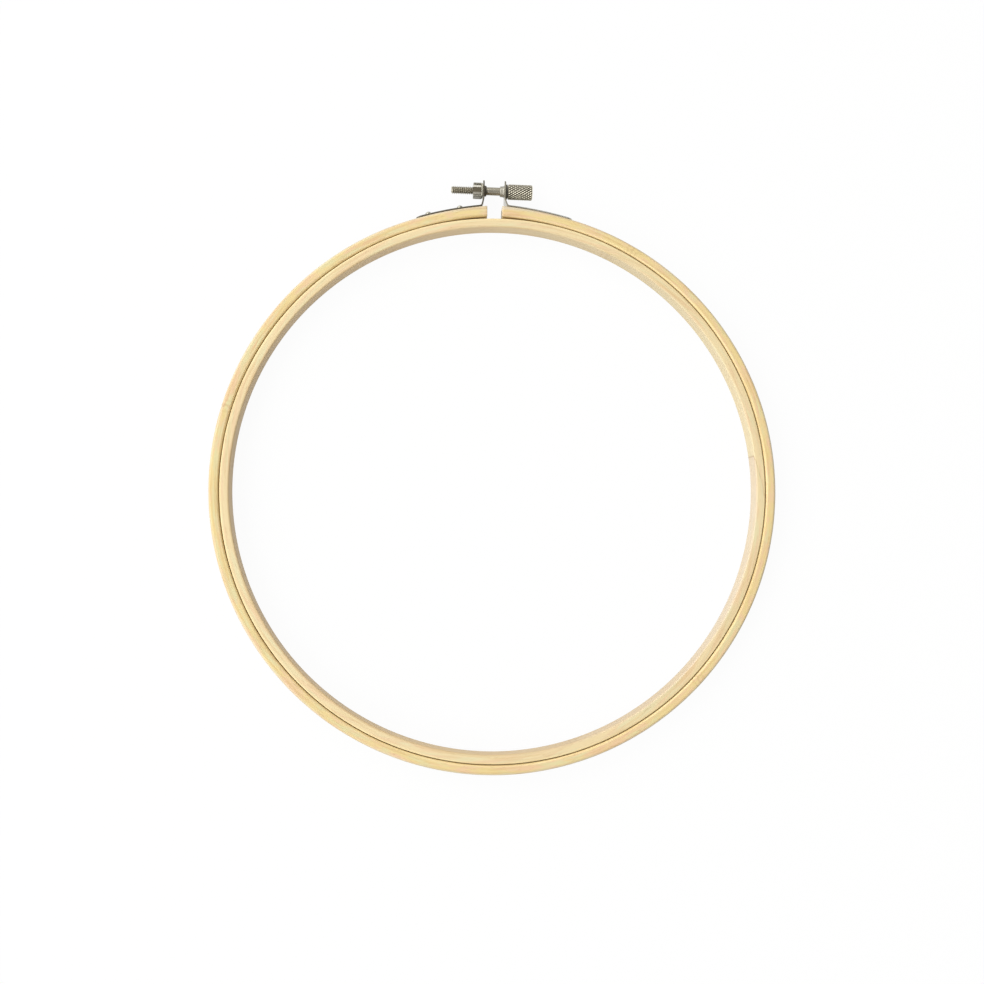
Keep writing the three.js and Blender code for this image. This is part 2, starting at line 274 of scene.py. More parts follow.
def make_plain(made: Object) -> None:
    """Turns what an object's modifiers make of it into its plain mesh.

    Args:
        made: The object.
    """
    graph = bpy.context.evaluated_depsgraph_get()
    graph.update()
    mesh = bpy.data.meshes.new_from_object(made.evaluated_get(graph))
    made.modifiers.clear()
    made.data = mesh
    mesh.name = made.name


def settled(made: Object, sharp: float, even: bool = False) -> Object:
    """Gives an object a plain mesh with smooth shading.

    Args:
        made: The object, with any modifiers live.
        sharp: Angle in degrees over which an edge stays crisp.
        even: Whether large flat faces stay evenly lit up to their rounded edges.

    Returns:
        The same object, with no modifiers.
    """
    make_plain(made)
    made.data.shade_smooth()
    made.data.set_sharp_from_angle(angle=math.radians(sharp))
    if even:
        made.modifiers.new("even_normals", "WEIGHTED_NORMAL").keep_sharp = True
        make_plain(made)
    return made


def hand_over(made: Object, body: str, slot: str, material: Material, nodes: Sequence[str]) -> None:
    """Dresses a finished piece and gives it to the frame.

    Args:
        made: The piece, in place.
        body: The body that it moves with.
        slot: The record's material slot that it stands for. Not used.
        material: Its finish.
        nodes: The CAD nodes that it stands for.
    """
    made.data.materials.clear()
    made.data.materials.append(material)
    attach(made, body)
    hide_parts(*nodes)
    log.info("%s: %d faces, on body %s, for %s", made.name, len(made.data.polygons), body, ", ".join(nodes))


# Geometry Nodes


def sized_tree(name: str, lengths: Mapping[str, float], counts: Mapping[str, int]) -> NodeTree:
    """Makes a Geometry Nodes tree with named inputs for its sizes and its material.

    Args:
        name: The tree's name.
        lengths: Its lengths in millimetres.
        counts: Its whole numbers.

    Returns:
        The tree, which takes and gives a geometry.
    """
    tree = bpy.data.node_groups.new(name, "GeometryNodeTree")
    new_input = partial(tree.interface.new_socket, in_out="INPUT")
    new_input("Geometry", socket_type="NodeSocketGeometry")
    for title, value in lengths.items():
        new_input(title, socket_type="NodeSocketFloat").default_value = value * MM
    for title, value in counts.items():
        new_input(title, socket_type="NodeSocketInt").default_value = value
    new_input("Material", socket_type="NodeSocketMaterial")
    tree.interface.new_socket("Geometry", in_out="OUTPUT", socket_type="NodeSocketGeometry")
    return tree


def end_tree(node: Adder, made: Node, material: bpy.types.NodeSocket) -> None:
    """Ends a tree with real geometry that carries its material.

    Args:
        node: Adds nodes to the tree.
        made: Gives the geometry.
        material: Gives the material.
    """
    real = node("GeometryNodeRealizeInstances", {"Geometry": made})
    dressed = node("GeometryNodeSetMaterial", {"Geometry": real, "Material": material})
    node("NodeGroupOutput", {"Geometry": dressed})


def with_tree(made: Object, tree: NodeTree, values: Mapping[str, object]) -> Object:
    """Puts a Geometry Nodes tree on an object.

    Args:
        made: The object.
        tree: The tree.
        values: Some of its inputs, by name. They are set by their sockets' identifiers.

    Returns:
        The same object.
    """
    modifier = made.modifiers.new(tree.name, "NODES")
    modifier.node_group = tree
    for item in tree.interface.items_tree:
        if item.in_out == "INPUT" and item.name in values:
            modifier[item.identifier] = values[item.name]
    return made


# Finishes


# The bamboo's patterns: features per millimetre along the strip and across it, and how many finer patterns
# lie over each. Fibres are 0.2 to 0.4 mm thick; these are drawn twice as coarse, for the picture's sake.
FIBRES = (0.05, 1.3, 4.0)
BUNDLES = (0.3, 2.6, 2.0)
PATCHES = (0.09, 0.4, 2.0)


@dataclass(frozen=True)
class Bamboo:
    """Bamboo culm, split, planed to a strip, bent round and sanded, with a thin clear lacquer.

    Its fibres run along the strip, so the eye sees fine streaks round the hoop, a patchy drift between
    straw yellow, pink and a greenish tone, short darker dashes where a bundle of vessels is cut, and
    every hand's breadth or two a node, where the fibres swirl and thin brown lines cross the strip.
    """

    name: str  # the material's name
    ground: str  # colour of most of the strip
    pink: str  # colour of its pinkish patches
    green: str  # colour of its greenish patches
    outside_colour: str  # colour of its outside face and the rounding beside it
    pith: str  # colour of its inside face
    lit_pith_start: str  # the same near the strip's start, paler: painted light
    lit_pith_end: str  # the same near its end, paler: painted light
    streak: str  # colour of the fibres
    vessel: str  # colour of the short dashes, the lines at the nodes and the glue line
    inside: float  # radius of the inside face
    outside: float  # radius of the outside face
    join: float  # angle at which the strip's ends meet, in degrees
    scarf: float  # length of their slanting overlap, or 0 where the ends are sawn apart
    sawn: float  # how far each sawn end is from the join
    nodes: tuple[float, ...]  # angles of the nodes, in degrees
    seed: float  # moves the pattern, so that two strips differ

    swirls: ClassVar[tuple[float, ...]] = (0.4, 0.6, 0.6)  # swirls per millimetre along, across and up
    drift: ClassVar[float] = 0.4  # width in millimetres over which they push the fibres
    node_drift: ClassVar[float] = 2.4  # how much wider it is at a node
    # What shows, over millimetres from a node, from the join, from a sawn end or from a face.
    at_node: ClassVar[Ramp] = (0.5, 3.6, 1.0, 0.0)
    node_lines: ClassVar[Ramp] = (0.1, 0.7, 0.22, 0.0)
    smeared_glue: ClassVar[Ramp] = (1.0, 10.0, 0.09, 0.0)
    glue_line: ClassVar[Ramp] = (0.1, 0.5, 0.45, 0.0)
    lit_sawn_end: ClassVar[Ramp] = (0.05, 0.2, 0.6, 0.0)
    at_face: ClassVar[Ramp] = (0.1, 1.1, 0.85, 0.0)
    at_outside: ClassVar[Ramp] = (-1.0, -0.1, 0.0, 0.85)
    # What shows, over a pattern that runs from 0 to 1.
    dashes: ClassVar[Ramp] = (0.62, 0.72, 0.0, 0.28)
    pink_patches: ClassVar[Ramp] = (0.42, 0.62, 0.0, 0.9)
    green_patches: ClassVar[Ramp] = (0.46, 0.66, 0.0, 0.9)
    fine_streaks: ClassVar[Ramp] = (0.45, 0.75, 0.0, 0.7)
    sheen: ClassVar[Ramp] = (0.3, 0.7, 0.48, 0.62)  # its roughness
    relief: ClassVar[float] = 0.06  # height of the grain in millimetres

    @property
    def middle(self) -> float:
        """Radius of the strip's middle."""
        return (self.inside + self.outside) / 2

    def grain(self, node: Adder, centre: Vector) -> tuple:
        """Adds nodes that measure along the strip, across it and up it, in millimetres.

        Args:
            node: Adds nodes to the material's tree.
            centre: Middle of the hoop.

        Returns:
            The distance from the join along the strip, the radius and the height.
        """
        slant = self.scarf / (self.outside - self.inside)
        spot = node("ShaderNodeTexCoord").outputs["Object"]
        scaled = node("ShaderNodeMapping", {"Vector": spot, "Location": -centre, "Scale": (1 / MM,) * 3})
        flat = node(VECTOR, [scaled, (1, 1, 0)], operation="MULTIPLY")
        radius = node(VECTOR, [flat], operation="LENGTH").outputs["Value"]
        parts = node(SPLIT, [scaled]).outputs
        angle = node(MATH, [parts["Y"], parts["X"]], operation="ARCTAN2")
        across = node(MATH, [radius, self.middle], operation="SUBTRACT")
        lag = node(MATH, [across, slant / self.middle, angle], operation="MULTIPLY_ADD")
        from_join = node(MATH, [lag, math.radians(self.join)], operation="SUBTRACT")
        wrapped = node(MATH, [from_join, TURN, 0.0], operation="WRAP")
        along = node(MATH, [wrapped, self.middle], operation="MULTIPLY")
        return along, radius, parts["Z"]

    def from_node(self, node: Adder, along: Node) -> Node:
        """Adds nodes that measure the distance along the strip to the nearest of its nodes.

        Args:
            node: Adds nodes to the material's tree.
            along: The distance from the join along the strip.

        Returns:
            The distance.
        """
        nearest = None
        for angle in self.nodes:
            place = math.radians((angle - self.join) % 360) * self.middle
            off = node(MATH, [along, place], operation="SUBTRACT")
            away = node(MATH, [off], operation="ABSOLUTE")
            nearest = node(MATH, [nearest, away], operation="MINIMUM") if nearest else away
        return nearest

    def to_join(self, node: Adder, along: Node) -> Node:
        """Adds nodes that measure the distance along the strip to where its ends meet."""
        left = node(MATH, [TURN * self.middle, along], operation="SUBTRACT")
        return node(MATH, [left, along], operation="MINIMUM")

    def strand(self, node: Adder, raw: Node, swell: Node) -> Node:
        """Adds nodes that bend the fibres a little everywhere, and by over a millimetre at a node.

        Args:
            node: Adds nodes to the material's tree.
            raw: The place along, across and up the strip.
            swell: 1 at a node and 0 away from it.

        Returns:
            The place as the fibres see it.
        """
        loose = node(VECTOR, [raw, self.swirls], operation="MULTIPLY")
        swirl = node(NOISE, {"Vector": loose, "Scale": 1.0, "Detail": 1.0}).outputs["Color"]
        turned = node(VECTOR, [swirl, (0.5, 0.5, 0.5)], operation="SUBTRACT")
        amount = node(MATH, [swell, self.node_drift, self.drift], operation="MULTIPLY_ADD")
        pull = node(VECTOR, {0: turned, "Scale": amount}, operation="SCALE")
        return node(VECTOR, [raw, pull], operation="ADD")

    def streaks(self, node: Adder, strand: Node, along: float, across: float, detail: float) -> Node:
        """Adds a pattern drawn out along the strip.

        Args:
            node: Adds nodes to the material's tree.
            strand: The place as the fibres see it.
            along: Features per millimetre along the strip.
            across: The same across it.
            detail: How many finer patterns are laid over the first.

        Returns:
            The pattern.
        """
        shift = (self.seed, self.seed * 3, self.seed * 7)
        drawn = node(VECTOR, [strand, (along, across, across), shift], operation="MULTIPLY_ADD")
        return node(NOISE, {"Vector": drawn, "Scale": 1.0, "Detail": detail, "Roughness": 0.6})

    def marks(self, node: Adder, strand: Node, swell: Node, to_join: Node, bundles: Node) -> Node:
        """Adds the dark marks: dashes of cut vessels, the lines at the nodes and the glue line.

        Args:
            node: Adds nodes to the material's tree.
            strand: The place as the fibres see it.
            swell: 1 at a node and 0 away from it.
            to_join: The distance to where the strip's ends meet.
            bundles: The pattern of the vessels' bundles.

        Returns:
            How dark the marks are.
        """
        none = (0.0, 1.0, 0.0, 0.0)
        smeared = node(RANGE, [to_join, *(self.smeared_glue if self.scarf else none)], **SMOOTH)
        dashed = node(MATH, [bundles, smeared], operation="ADD")
        dashes = node(RANGE, [dashed, *self.dashes], **SMOOTH)

        # Thin lines cross the strip where the culm's partition was cut away.
        bent = node(SPLIT, [strand]).outputs["X"]
        ripple = node(MATH, [self.from_node(node, bent), 1.0], operation="PINGPONG")
        lines = node(RANGE, [ripple, *self.node_lines], **SMOOTH)
        crossing = node(MATH, [lines, swell], operation="MULTIPLY")
        marks = node(MATH, [crossing, dashes], operation="MAXIMUM")
        glue = node(RANGE, [to_join, *(self.glue_line if self.scarf else none)], **SMOOTH)
        return node(MATH, [marks, glue], operation="MAXIMUM")

    def pith_with_painted_light(self, node: Adder, along: Node) -> Node:
        """Adds the colour of the inside face, which is paler towards the strip's ends: painted light, for a
        join that lies where light falls on the inside face.

        Args:
            node: Adds nodes to the material's tree.
            along: The distance from the join along the strip.

        Returns:
            The colour.
        """
        length = TURN * self.middle
        half = node(MATH, [along, length / 2], operation="SUBTRACT")
        away = node(MATH, [half], operation="ABSOLUTE")
        # Painted light: paler towards the strip's ends, shifting between the two lit colours from start to
        # end.
        paler = node(RANGE, [away, length * 0.2, length * 0.42, 0.0, 1.0], **SMOOTH)
        later = node(RANGE, [half, -1.0, 1.0, 0.0, 1.0], **SMOOTH)
        pale = node(MIX, [later, linear(self.lit_pith_start), linear(self.lit_pith_end)], data_type="RGBA")
        return node(MIX, [paler, linear(self.pith), pale], data_type="RGBA")

    def material(self, centre: Vector) -> Material:
        """Builds the finish.

        Args:
            centre: Middle of the hoop.

        Returns:
            The material.
        """
        made = bare_material(self.name)
        node = partial(add_node, made.node_tree)
        along, radius, height = self.grain(node, centre)
        to_join = self.to_join(node, along)
        swell = node(RANGE, [self.from_node(node, along), *self.at_node], **SMOOTH)
        strand = self.strand(node, node(JOIN, [along, radius, height]), swell)
        streaks = partial(self.streaks, node, strand)
        fibres, bundles, patches = streaks(*FIBRES), streaks(*BUNDLES), streaks(*PATCHES)
        patch = node("ShaderNodeSeparateColor", [patches.outputs["Color"]]).outputs
        depth = node(MATH, [radius, self.inside], operation="SUBTRACT")
        colour = linear(self.ground)
        for source, ramp, tint in (
            (patch["Red"], self.pink_patches, linear(self.pink)),
            (patch["Green"], self.green_patches, linear(self.green)),
            (depth, self.at_face, self.pith_with_painted_light(node, along)),
            (node(MATH, [radius, self.outside], operation="SUBTRACT"), self.at_outside, linear(self.outside_colour)),
            (fibres, self.fine_streaks, linear(self.streak)),
        ):
            share = node(RANGE, [source, *ramp], **SMOOTH)
            colour = node(MIX, [share, colour, tint], data_type="RGBA")
        marks = self.marks(node, strand, swell, to_join, bundles)
        colour = node(MIX, [marks, colour, linear(self.vessel)], data_type="RGBA")
        # The sawn ends are painted paler towards the outside colour: painted light on end faces that sit in
        # the gap's shade.
        if self.sawn:
            past_end = node(MATH, [to_join, self.sawn], operation="SUBTRACT")
            grey = node(RANGE, [past_end, *self.lit_sawn_end], **SMOOTH)
            colour = node(MIX, [grey, colour, linear(self.outside_colour)], data_type="RGBA")
        grain = node(MATH, [bundles, 0.6, fibres], operation="MULTIPLY_ADD")
        uneven = {"Strength": 0.5, "Distance": self.relief * MM, "Height": grain}
        surface = {
            "Base Color": colour,
            "Roughness": node(RANGE, [fibres, *self.sheen], **SMOOTH),
            "IOR": 1.5,
            "Normal": node("ShaderNodeBump", uneven, invert=True),
            "Specular IOR Level": 0.38,
            "Coat Weight": 0.08,
            "Coat Roughness": 0.3,
        }
        node("ShaderNodeOutputMaterial", {"Surface": node("ShaderNodeBsdfPrincipled", surface)})
        return made


@dataclass(frozen=True)
class PlatedSteel:
    """Mild steel, stamped or turned, barrel-plated with nickel.

    The plating gives a slightly warm grey mirror that tumbling has dulled in patches, with fine scratches.
    Marked faces are painted darker and duller: painted shade and painted dark reflections, with duller bare
    steel on sheared edges.
    """

    name: str  # the material's name
    bright: str  # reflection of the rubbed plating
    dull: str  # reflection of the duller patches
    sunk: str  # painted shade: the reflection mixed in on faces marked dark
    smooth: float  # lowest roughness
    rough: float  # highest roughness
    patch: float  # size of the patches in millimetres
    # Size of the scratches in millimetres, drawn coarser than they are, so that they show.
    scratch: float = 0.12
    scratch_depth: float = 0.004  # their depth in millimetres
    sunk_rough: float = 0.3  # how much rougher the faces marked dark are

    wear: ClassVar[Ramp] = (0.35, 0.65, 0.0, 1.0)  # from bright to dull, over the patches' pattern
    wear_rough: ClassVar[tuple[float, float]] = (0.3, 0.7)  # the same, from smooth to rough

    @cache
    def material(self) -> Material:
        """Builds the finish, once for all the pieces that share it.

        Returns:
            The material.
        """
        made = bare_material(self.name)
        node = partial(add_node, made.node_tree)
        spot = node("ShaderNodeTexCoord").outputs["Object"]
        patches = node(NOISE, {"Vector": spot, "Scale": 1 / (self.patch * MM), "Detail": 3.0})
        fine = node(NOISE, {"Vector": spot, "Scale": 1 / (self.scratch * MM), "Detail": 2.0})
        wear = node(RANGE, [patches, *self.wear])
        plating = node(MIX, [wear, linear(self.bright), linear(self.dull)], data_type="RGBA")
        # Marked faces get painted shade: the plating is mixed towards the sunk colour there, and is rougher.
        recess = node("ShaderNodeAttribute", attribute_name="recess").outputs["Fac"]
        roughness = node(RANGE, [patches, *self.wear_rough, self.smooth, self.rough])
        uneven = {"Strength": 0.25, "Distance": self.scratch_depth * MM, "Height": fine}
        surface = {
            "Base Color": node(MIX, [recess, plating, linear(self.sunk)], data_type="RGBA"),
            "Roughness": node(MATH, [recess, self.sunk_rough, roughness], operation="MULTIPLY_ADD"),
            "Normal": node("ShaderNodeBump", uneven),
            "Metallic": 1.0,
        }
        node("ShaderNodeOutputMaterial", {"Surface": node("ShaderNodeBsdfPrincipled", surface)})
        return made


# Stamped strip, tumbled and nickel-plated: a satin grey, with matt dark sheared edges, partly duller bare
# steel and partly painted shade.
STAMPED = PlatedSteel(
    "nickel_plated_stamped_steel", bright="b1aea1", dull="9c998c", sunk="5c564a",
    smooth=0.26, rough=0.42, patch=0.9,
)
# The same, painted brighter: a painted reflection of the white room on the screw bracket.
STAMPED_PAINTED_BRIGHT = PlatedSteel(
    "nickel_plated_stamped_steel_painted_bright", bright="d2d0c7", dull="c4c2b9", sunk="827d6f",
    smooth=0.26, rough=0.36, patch=0.9,
)
# Turned and rolled rod, nickel-plated: a warm, bright mirror, with painted shade nearly black in its grooves.
TURNED = PlatedSteel(
    "nickel_plated_turned_steel", bright="ece5d0", dull="dad2bc", sunk="2a251b",
    smooth=0.22, rough=0.32, patch=0.6,
)
# Pressed and zinc-plated: paler and softer, with its flats painted dark: a painted dark reflection.
PRESSED = PlatedSteel(
    "zinc_plated_pressed_steel", bright="e0dccf", dull="d0ccbf", sunk="665f50",
    smooth=0.3, rough=0.4, patch=0.8,
)
# Steel painted dark grey: painted shade, the ear's shadow on the washer.
STEEL_PAINTED_DARK = PlatedSteel(
    "spring_steel_painted_shade", bright="7f7b72", dull="6c6961", sunk="2c2a26",
    smooth=0.3, rough=0.45, patch=0.8,
)


# Hoops


@dataclass
class Hoop:
    """A bamboo hoop: a flat strip bent round, with its exposed corners rounded over."""

    layout: Layout  # where the hoops and the clamp are
    finish: Bamboo  # its bamboo
    node: str  # the CAD node and the body that it stands for
    slot: str  # its material slot
    inner_round: float  # radius of the two corners on the inside
    outer_round: float  # radius of the two corners on the outside
    gap: float = 0.0  # distance between the sawn ends, or 0 for a closed hoop
    crown: float = 0.06  # how much lower the flat edges are at their sides than in the middle
    thinning: float = 0.0  # how much the wall's thickness varies round the hoop
    thin_side: float = 0.0  # direction of its thinnest part, in degrees
    steps: int = 720  # sections round the hoop
    corner_steps: int = 7  # steps in each rounded corner
    end_round: float = 0.15  # how far the sawn ends' edges are rubbed off
    swell: float = 0.5  # how much more the outside springs than the inside, as a share of it
    shell: Shell = field(default_factory=Shell, init=False)  # its surface

    def section(self, inset: float) -> Outline:
        """The outline of the strip, as radius and height, anticlockwise from the bottom inside corner.

        Args:
            inset: How far inside its full outline, for the rounded ends.

        Returns:
            The outline's points.
        """
        height, inside, outside = self.layout.height, self.finish.inside, self.finish.outside
        left, right = inside + self.inner_round, outside - self.outer_round
        corners = [
            (left, self.inner_round, self.inner_round, 2),
            (right, self.outer_round, self.outer_round, 3),
            (right, height - self.outer_round, self.outer_round, 0),
            (left, height - self.inner_round, self.inner_round, 1),
        ]
        across = {2: ((0.25, 0.5, 0.75), inset), 0: ((0.75, 0.5, 0.25), height - inset)}
        points = []
        for centre_r, centre_z, rounding, quarter in corners:
            reach = rounding - inset
            for k in range(self.corner_steps + 1):
                angle = (quarter + k / self.corner_steps) * math.pi / 2
                points.append((centre_r + reach * math.cos(angle), centre_z + reach * math.sin(angle)))
            shares, edge = across.get(quarter, ((), 0))
            points += [(inside + (outside - inside) * share, edge) for share in shares]
        half = (outside - inside) / 2
        return [
            (r, z - math.copysign(self.crown * ((r - self.finish.middle) / half) ** 2, z - height / 2))
            for r, z in points
        ]

    def station(self, place: float, inset: float) -> list[int]:
        """Adds the section at one place round the hoop.

        Args:
            place: The share of the way round, from one side of the clamp to the other.
            inset: How far the section is drawn in.

        Returns:
            The numbers of its corners.
        """
        points = []
        inside, outside, middle = self.finish.inside, self.finish.outside, self.finish.middle
        for radius, z in self.section(inset):
            edge = math.asin(self.gap / 2 / radius)
            from_clamp = edge + place * (TURN - 2 * edge)
            angle = math.pi / 2 + from_clamp
            if radius < middle:
                sunk = self.thinning * (1 + math.cos(angle - math.radians(self.thin_side))) / 2
                radius += sunk * (middle - radius) / (middle - inside)
            if self.gap:
                sprung = self.layout.sprung(min(from_clamp, TURN - from_clamp))
                radius += sprung * (1 + self.swell * (radius - inside) / (outside - inside))
            points.append(self.layout.in_hoop(radius * math.cos(angle), radius * math.sin(angle), z))
        return self.shell.row(points)

    def build(self) -> Object:
        """Sweeps the section round the hoop and dresses it.

        Returns:
            The finished piece.
        """
        stations = [(k / self.steps, 0.0) for k in range(self.steps)]
        if self.gap:
            rounding = [(0.0, 1.0), (0.35, 0.35), (1.0, 0.0)]
            length = TURN * self.finish.outside - self.gap
            near = [(share * self.end_round / length, sunk * self.end_round) for share, sunk in rounding]
            far = [(1 - place, sunk) for place, sunk in reversed(near)]
            stations = near + stations[1:] + far
        rows = [self.station(place, inset) for place, inset in stations]
        if self.gap:
            self.shell.bands(rows)
            self.shell.cap(rows[0])
            self.shell.cap(rows[-1])
        else:
            self.shell.bands([*rows, rows[0]])
        name = f"{self.node}_bent_strip"
        made = settled(object_of(self.shell.mesh(name), name), sharp=50)
        hand_over(made, self.node, self.slot, self.finish.material(self.layout.centre), [self.node])
        return made


# Bent sheet


@dataclass(frozen=True)
class Station:
    """One step along a bent strip."""

    middle: Vector  # its middle, in the plane that the strip is bent in
    through: Vector  # direction through the sheet, from the front face to the back one
    half_width: float  # half the strip's width
    half_sheet: float  # half the sheet's thickness
    dull: float  # how dark and dull the sheared edges are painted there: duller bare steel and painted shade
    face_dull: float = 0.0  # how dark the faces are painted there: painted shade

    def corners(self, shares: Sequence[float], edge: float, place: Place) -> list[Vector]:
        """The corners of the strip's section there, the front face's first.

        Args:
            shares: Where a face's corners are, as shares of half its width.
            edge: Width of the small bevels.
            place: Turns a place in the plane of the bend and one across it into the frame's metres.

        Returns:
            The corners, in order round the section.
        """
        sheet, flat = self.half_sheet, self.half_width - edge
        bevel = max(sheet - edge, 0)
        end = math.copysign(self.half_width, shares[-1])
        section = [(-sheet, share * flat) for share in shares] + [(-bevel, end), (bevel, end)]
        section += [(sheet, share * flat) for share in reversed(shares)] + [(bevel, -end), (-bevel, -end)]
        spots = [(self.middle + self.through * depth, z) for depth, z in section]
        return [place(spot.x, spot.y, z) for spot, z in spots]


@dataclass
class PiercedPlate:
    """A flat sheet round a hole, from whose straight edges bent strips may run on."""

    shell: Shell  # the surface that it is part of
    place: Place  # turns a place along the hole's axis, outwards and upwards into the frame's metres
    front: float  # where the face with the collar is, along the axis
    back: float  # where the other face is
    outline: Outline  # the sheet's edge as outward and upward places, in order round the hole
    hole: Outline  # the hole's wall and collar, as places along the axis and radii, from the back face on
    edge: float  # width of the small bevels
    round_top: bool  # whether the outline over the hole is an arc round it
    sheared: float  # how dark and dull its sheared edge is painted: duller bare steel and painted shade
    pierced: float  # how dark the hole's collar is painted: painted shade
    # Its corners at the front face's edge, at both edges of the rim and at the back face's.
    loops: list[list[int]] = field(init=False)

    def __post_init__(self) -> None:
        """Lays the hole's wall, the collar and both faces."""
        front, back, edge = self.front, self.back, self.edge
        step = math.copysign(edge, back - front)
        wall = [self.ring(along, radius) for along, radius in self.hole]
        places = (front, edge), (front + step, 0), (back - step, 0), (back, edge)
        self.loops = [self.loop(along, inset) for along, inset in places]
        self.shell.bands(wall, shade=self.pierced)
        self.shell.skin(wall[-1], self.loops[0], closed=True)
        self.shell.skin(wall[0], self.loops[-1], closed=True)

    @property
    def half(self) -> float:
        """Half the sheet's width."""
        return max(z for _, z in self.outline)

    def ring(self, along: float, radius: float) -> list[int]:
        """Adds a circle round the hole's axis, with a corner for each point of the outline."""
        angles = [math.atan2(out, z) for out, z in self.outline]
        return self.shell.row([self.place(along, radius * math.sin(a), radius * math.cos(a)) for a in angles])

    def loop(self, along: float, inset: float) -> list[int]:
        """Adds the outline at a place along the axis.

        Args:
            along: The place.
            inset: How far the outline is drawn in there.

        Returns:
            The numbers of its corners.
        """
        share = (self.half - inset) / self.half
        shares = [share if self.round_top and out > 0 else 1 for out, _ in self.outline]
        points = zip(shares, self.outline)
        return self.shell.row([self.place(along, out * outward, z * share) for outward, (out, z) in points])

    def rim(self, numbers: Sequence[int]) -> None:
        """Closes the sheet's edge along those of the outline's points."""
        stretch = [[loop[i] for i in numbers] for loop in self.loops]
        self.shell.bands(stretch, closed=False, shade=self.sheared)

    def run_on(self, numbers: Sequence[int], stations: Sequence[Station], place: Place) -> None:
        """Carries the sheet on from one straight edge of the outline.

        Args:
            numbers: The outline's points along that edge.
            stations: The steps of the strip.
            place: Turns a station's two coordinates and a place across into the frame's metres.
        """
        front_edge, rim_front, rim_back, back_edge = self.loops
        first, last = numbers[0], numbers[-1]
        before = [front_edge[i] for i in numbers] + [rim_front[last], rim_back[last]]
        before += [back_edge[i] for i in reversed(numbers)] + [rim_back[first], rim_front[first]]
        shares = [self.outline[i][1] / self.half for i in numbers]
        for station in stations:
            row = self.shell.row(station.corners(shares, self.edge, place))
            faces, edges = [station.face_dull] * (len(numbers) - 1), [station.dull] * 3
            self.shell.skin(before, row, closed=True, shade=[*faces, *edges] * 2)
            before = row
        self.shell.cap(before, stations[-1].dull)


def rounded_path(corners: Sequence[Vector], radius: float, step: float) -> list[Vector]:
    """A path in the plane with its inner corners rounded.

    Args:
        corners: The path's corners, the ends included.
        radius: Radius of the rounding.
        step: Largest turn between two points, in degrees.

    Returns:
        The path's points.
    """
    path = [corners[0]]
    for before, corner, after in zip(corners, corners[1:], corners[2:]):
        back = (before - corner).normalized()
        on = (after - corner).normalized()
        turn = math.pi - back.angle(on)
        centre = corner + (back + on).normalized() * radius / math.cos(turn / 2)
        spoke = corner + back * radius * math.tan(turn / 2) - centre
        side = -math.copysign(1, back.cross(on))
        steps = max(2, math.ceil(turn / math.radians(step)))
        path += [centre + Matrix.Rotation(side * turn * k / steps, 2) @ spoke for k in range(steps + 1)]
    return [*path, corners[-1]]


# Clamp


@dataclass
class SteelPiece:
    """A piece of plated steel, by default laid face by face as one closed surface."""

    layout: Layout  # where the hoops and the clamp are
    finish: PlatedSteel  # its plating
    shell: Shell = field(default_factory=Shell, init=False)  # its surface
    name: ClassVar[str]  # the piece's name
    nodes: ClassVar[tuple[str, ...]]  # the CAD nodes that it stands for
    body: ClassVar[str] = "outer_hoop"  # the body that it moves with
    sharp: ClassVar[float] = 60  # angle in degrees over which its edges stay crisp
    even: ClassVar[bool] = True  # whether its large flat faces stay evenly lit up to their rounded edges

    def lay(self) -> None:
        """Adds the piece's faces to its surface, in place."""

    def form(self) -> Object:
        """Makes the piece's object, with any modifiers live."""
        self.lay()
        return object_of(self.shell.mesh(self.name), self.name)

    def move(self, mesh: Mesh) -> None:
        """Brings a piece that is made elsewhere to its place."""

    def build(self) -> Object:
        """Makes the piece, dresses it and gives it to the frame.

        Returns:
            The finished piece.
        """
        made = settled(self.form(), self.sharp, self.even)
        self.move(made.data)
        hand_over(made, self.body, "plated_steel", self.finish.material(), self.nodes)
        return made


class Side(Enum):
    """The two sides of the clamp, each with its sign along the screw."""

    NUT = -1
    SCREW = 1


@dataclass(frozen=True)
class Strip:
    """The strip that each bracket is bent from, and how it lies on the hoop."""

    sheet: float = 0.5  # its thickness
    width: float = 8.0  # its width
    seat: float = 0.1  # its distance from the hoop
    ear: float = 3.8  # distance of the ear's inner face from the middle of the gap
    splay: float = 0.8  # how much further back the ear's foot is
    sprung: float = 1.5  # how much more the strip springs outwards than the hoop's inside

    def radius(self, layout: Layout) -> float:
        """Radius of the strip's middle, where it lies on the hoop."""
        return layout.outside + self.seat + self.sheet / 2

    def bend_angle(self, layout: Layout) -> float:
        """Angle from the middle of the gap to the ear's foot."""
        return math.asin((self.ear + self.sheet / 2 + self.splay) / self.radius(layout))


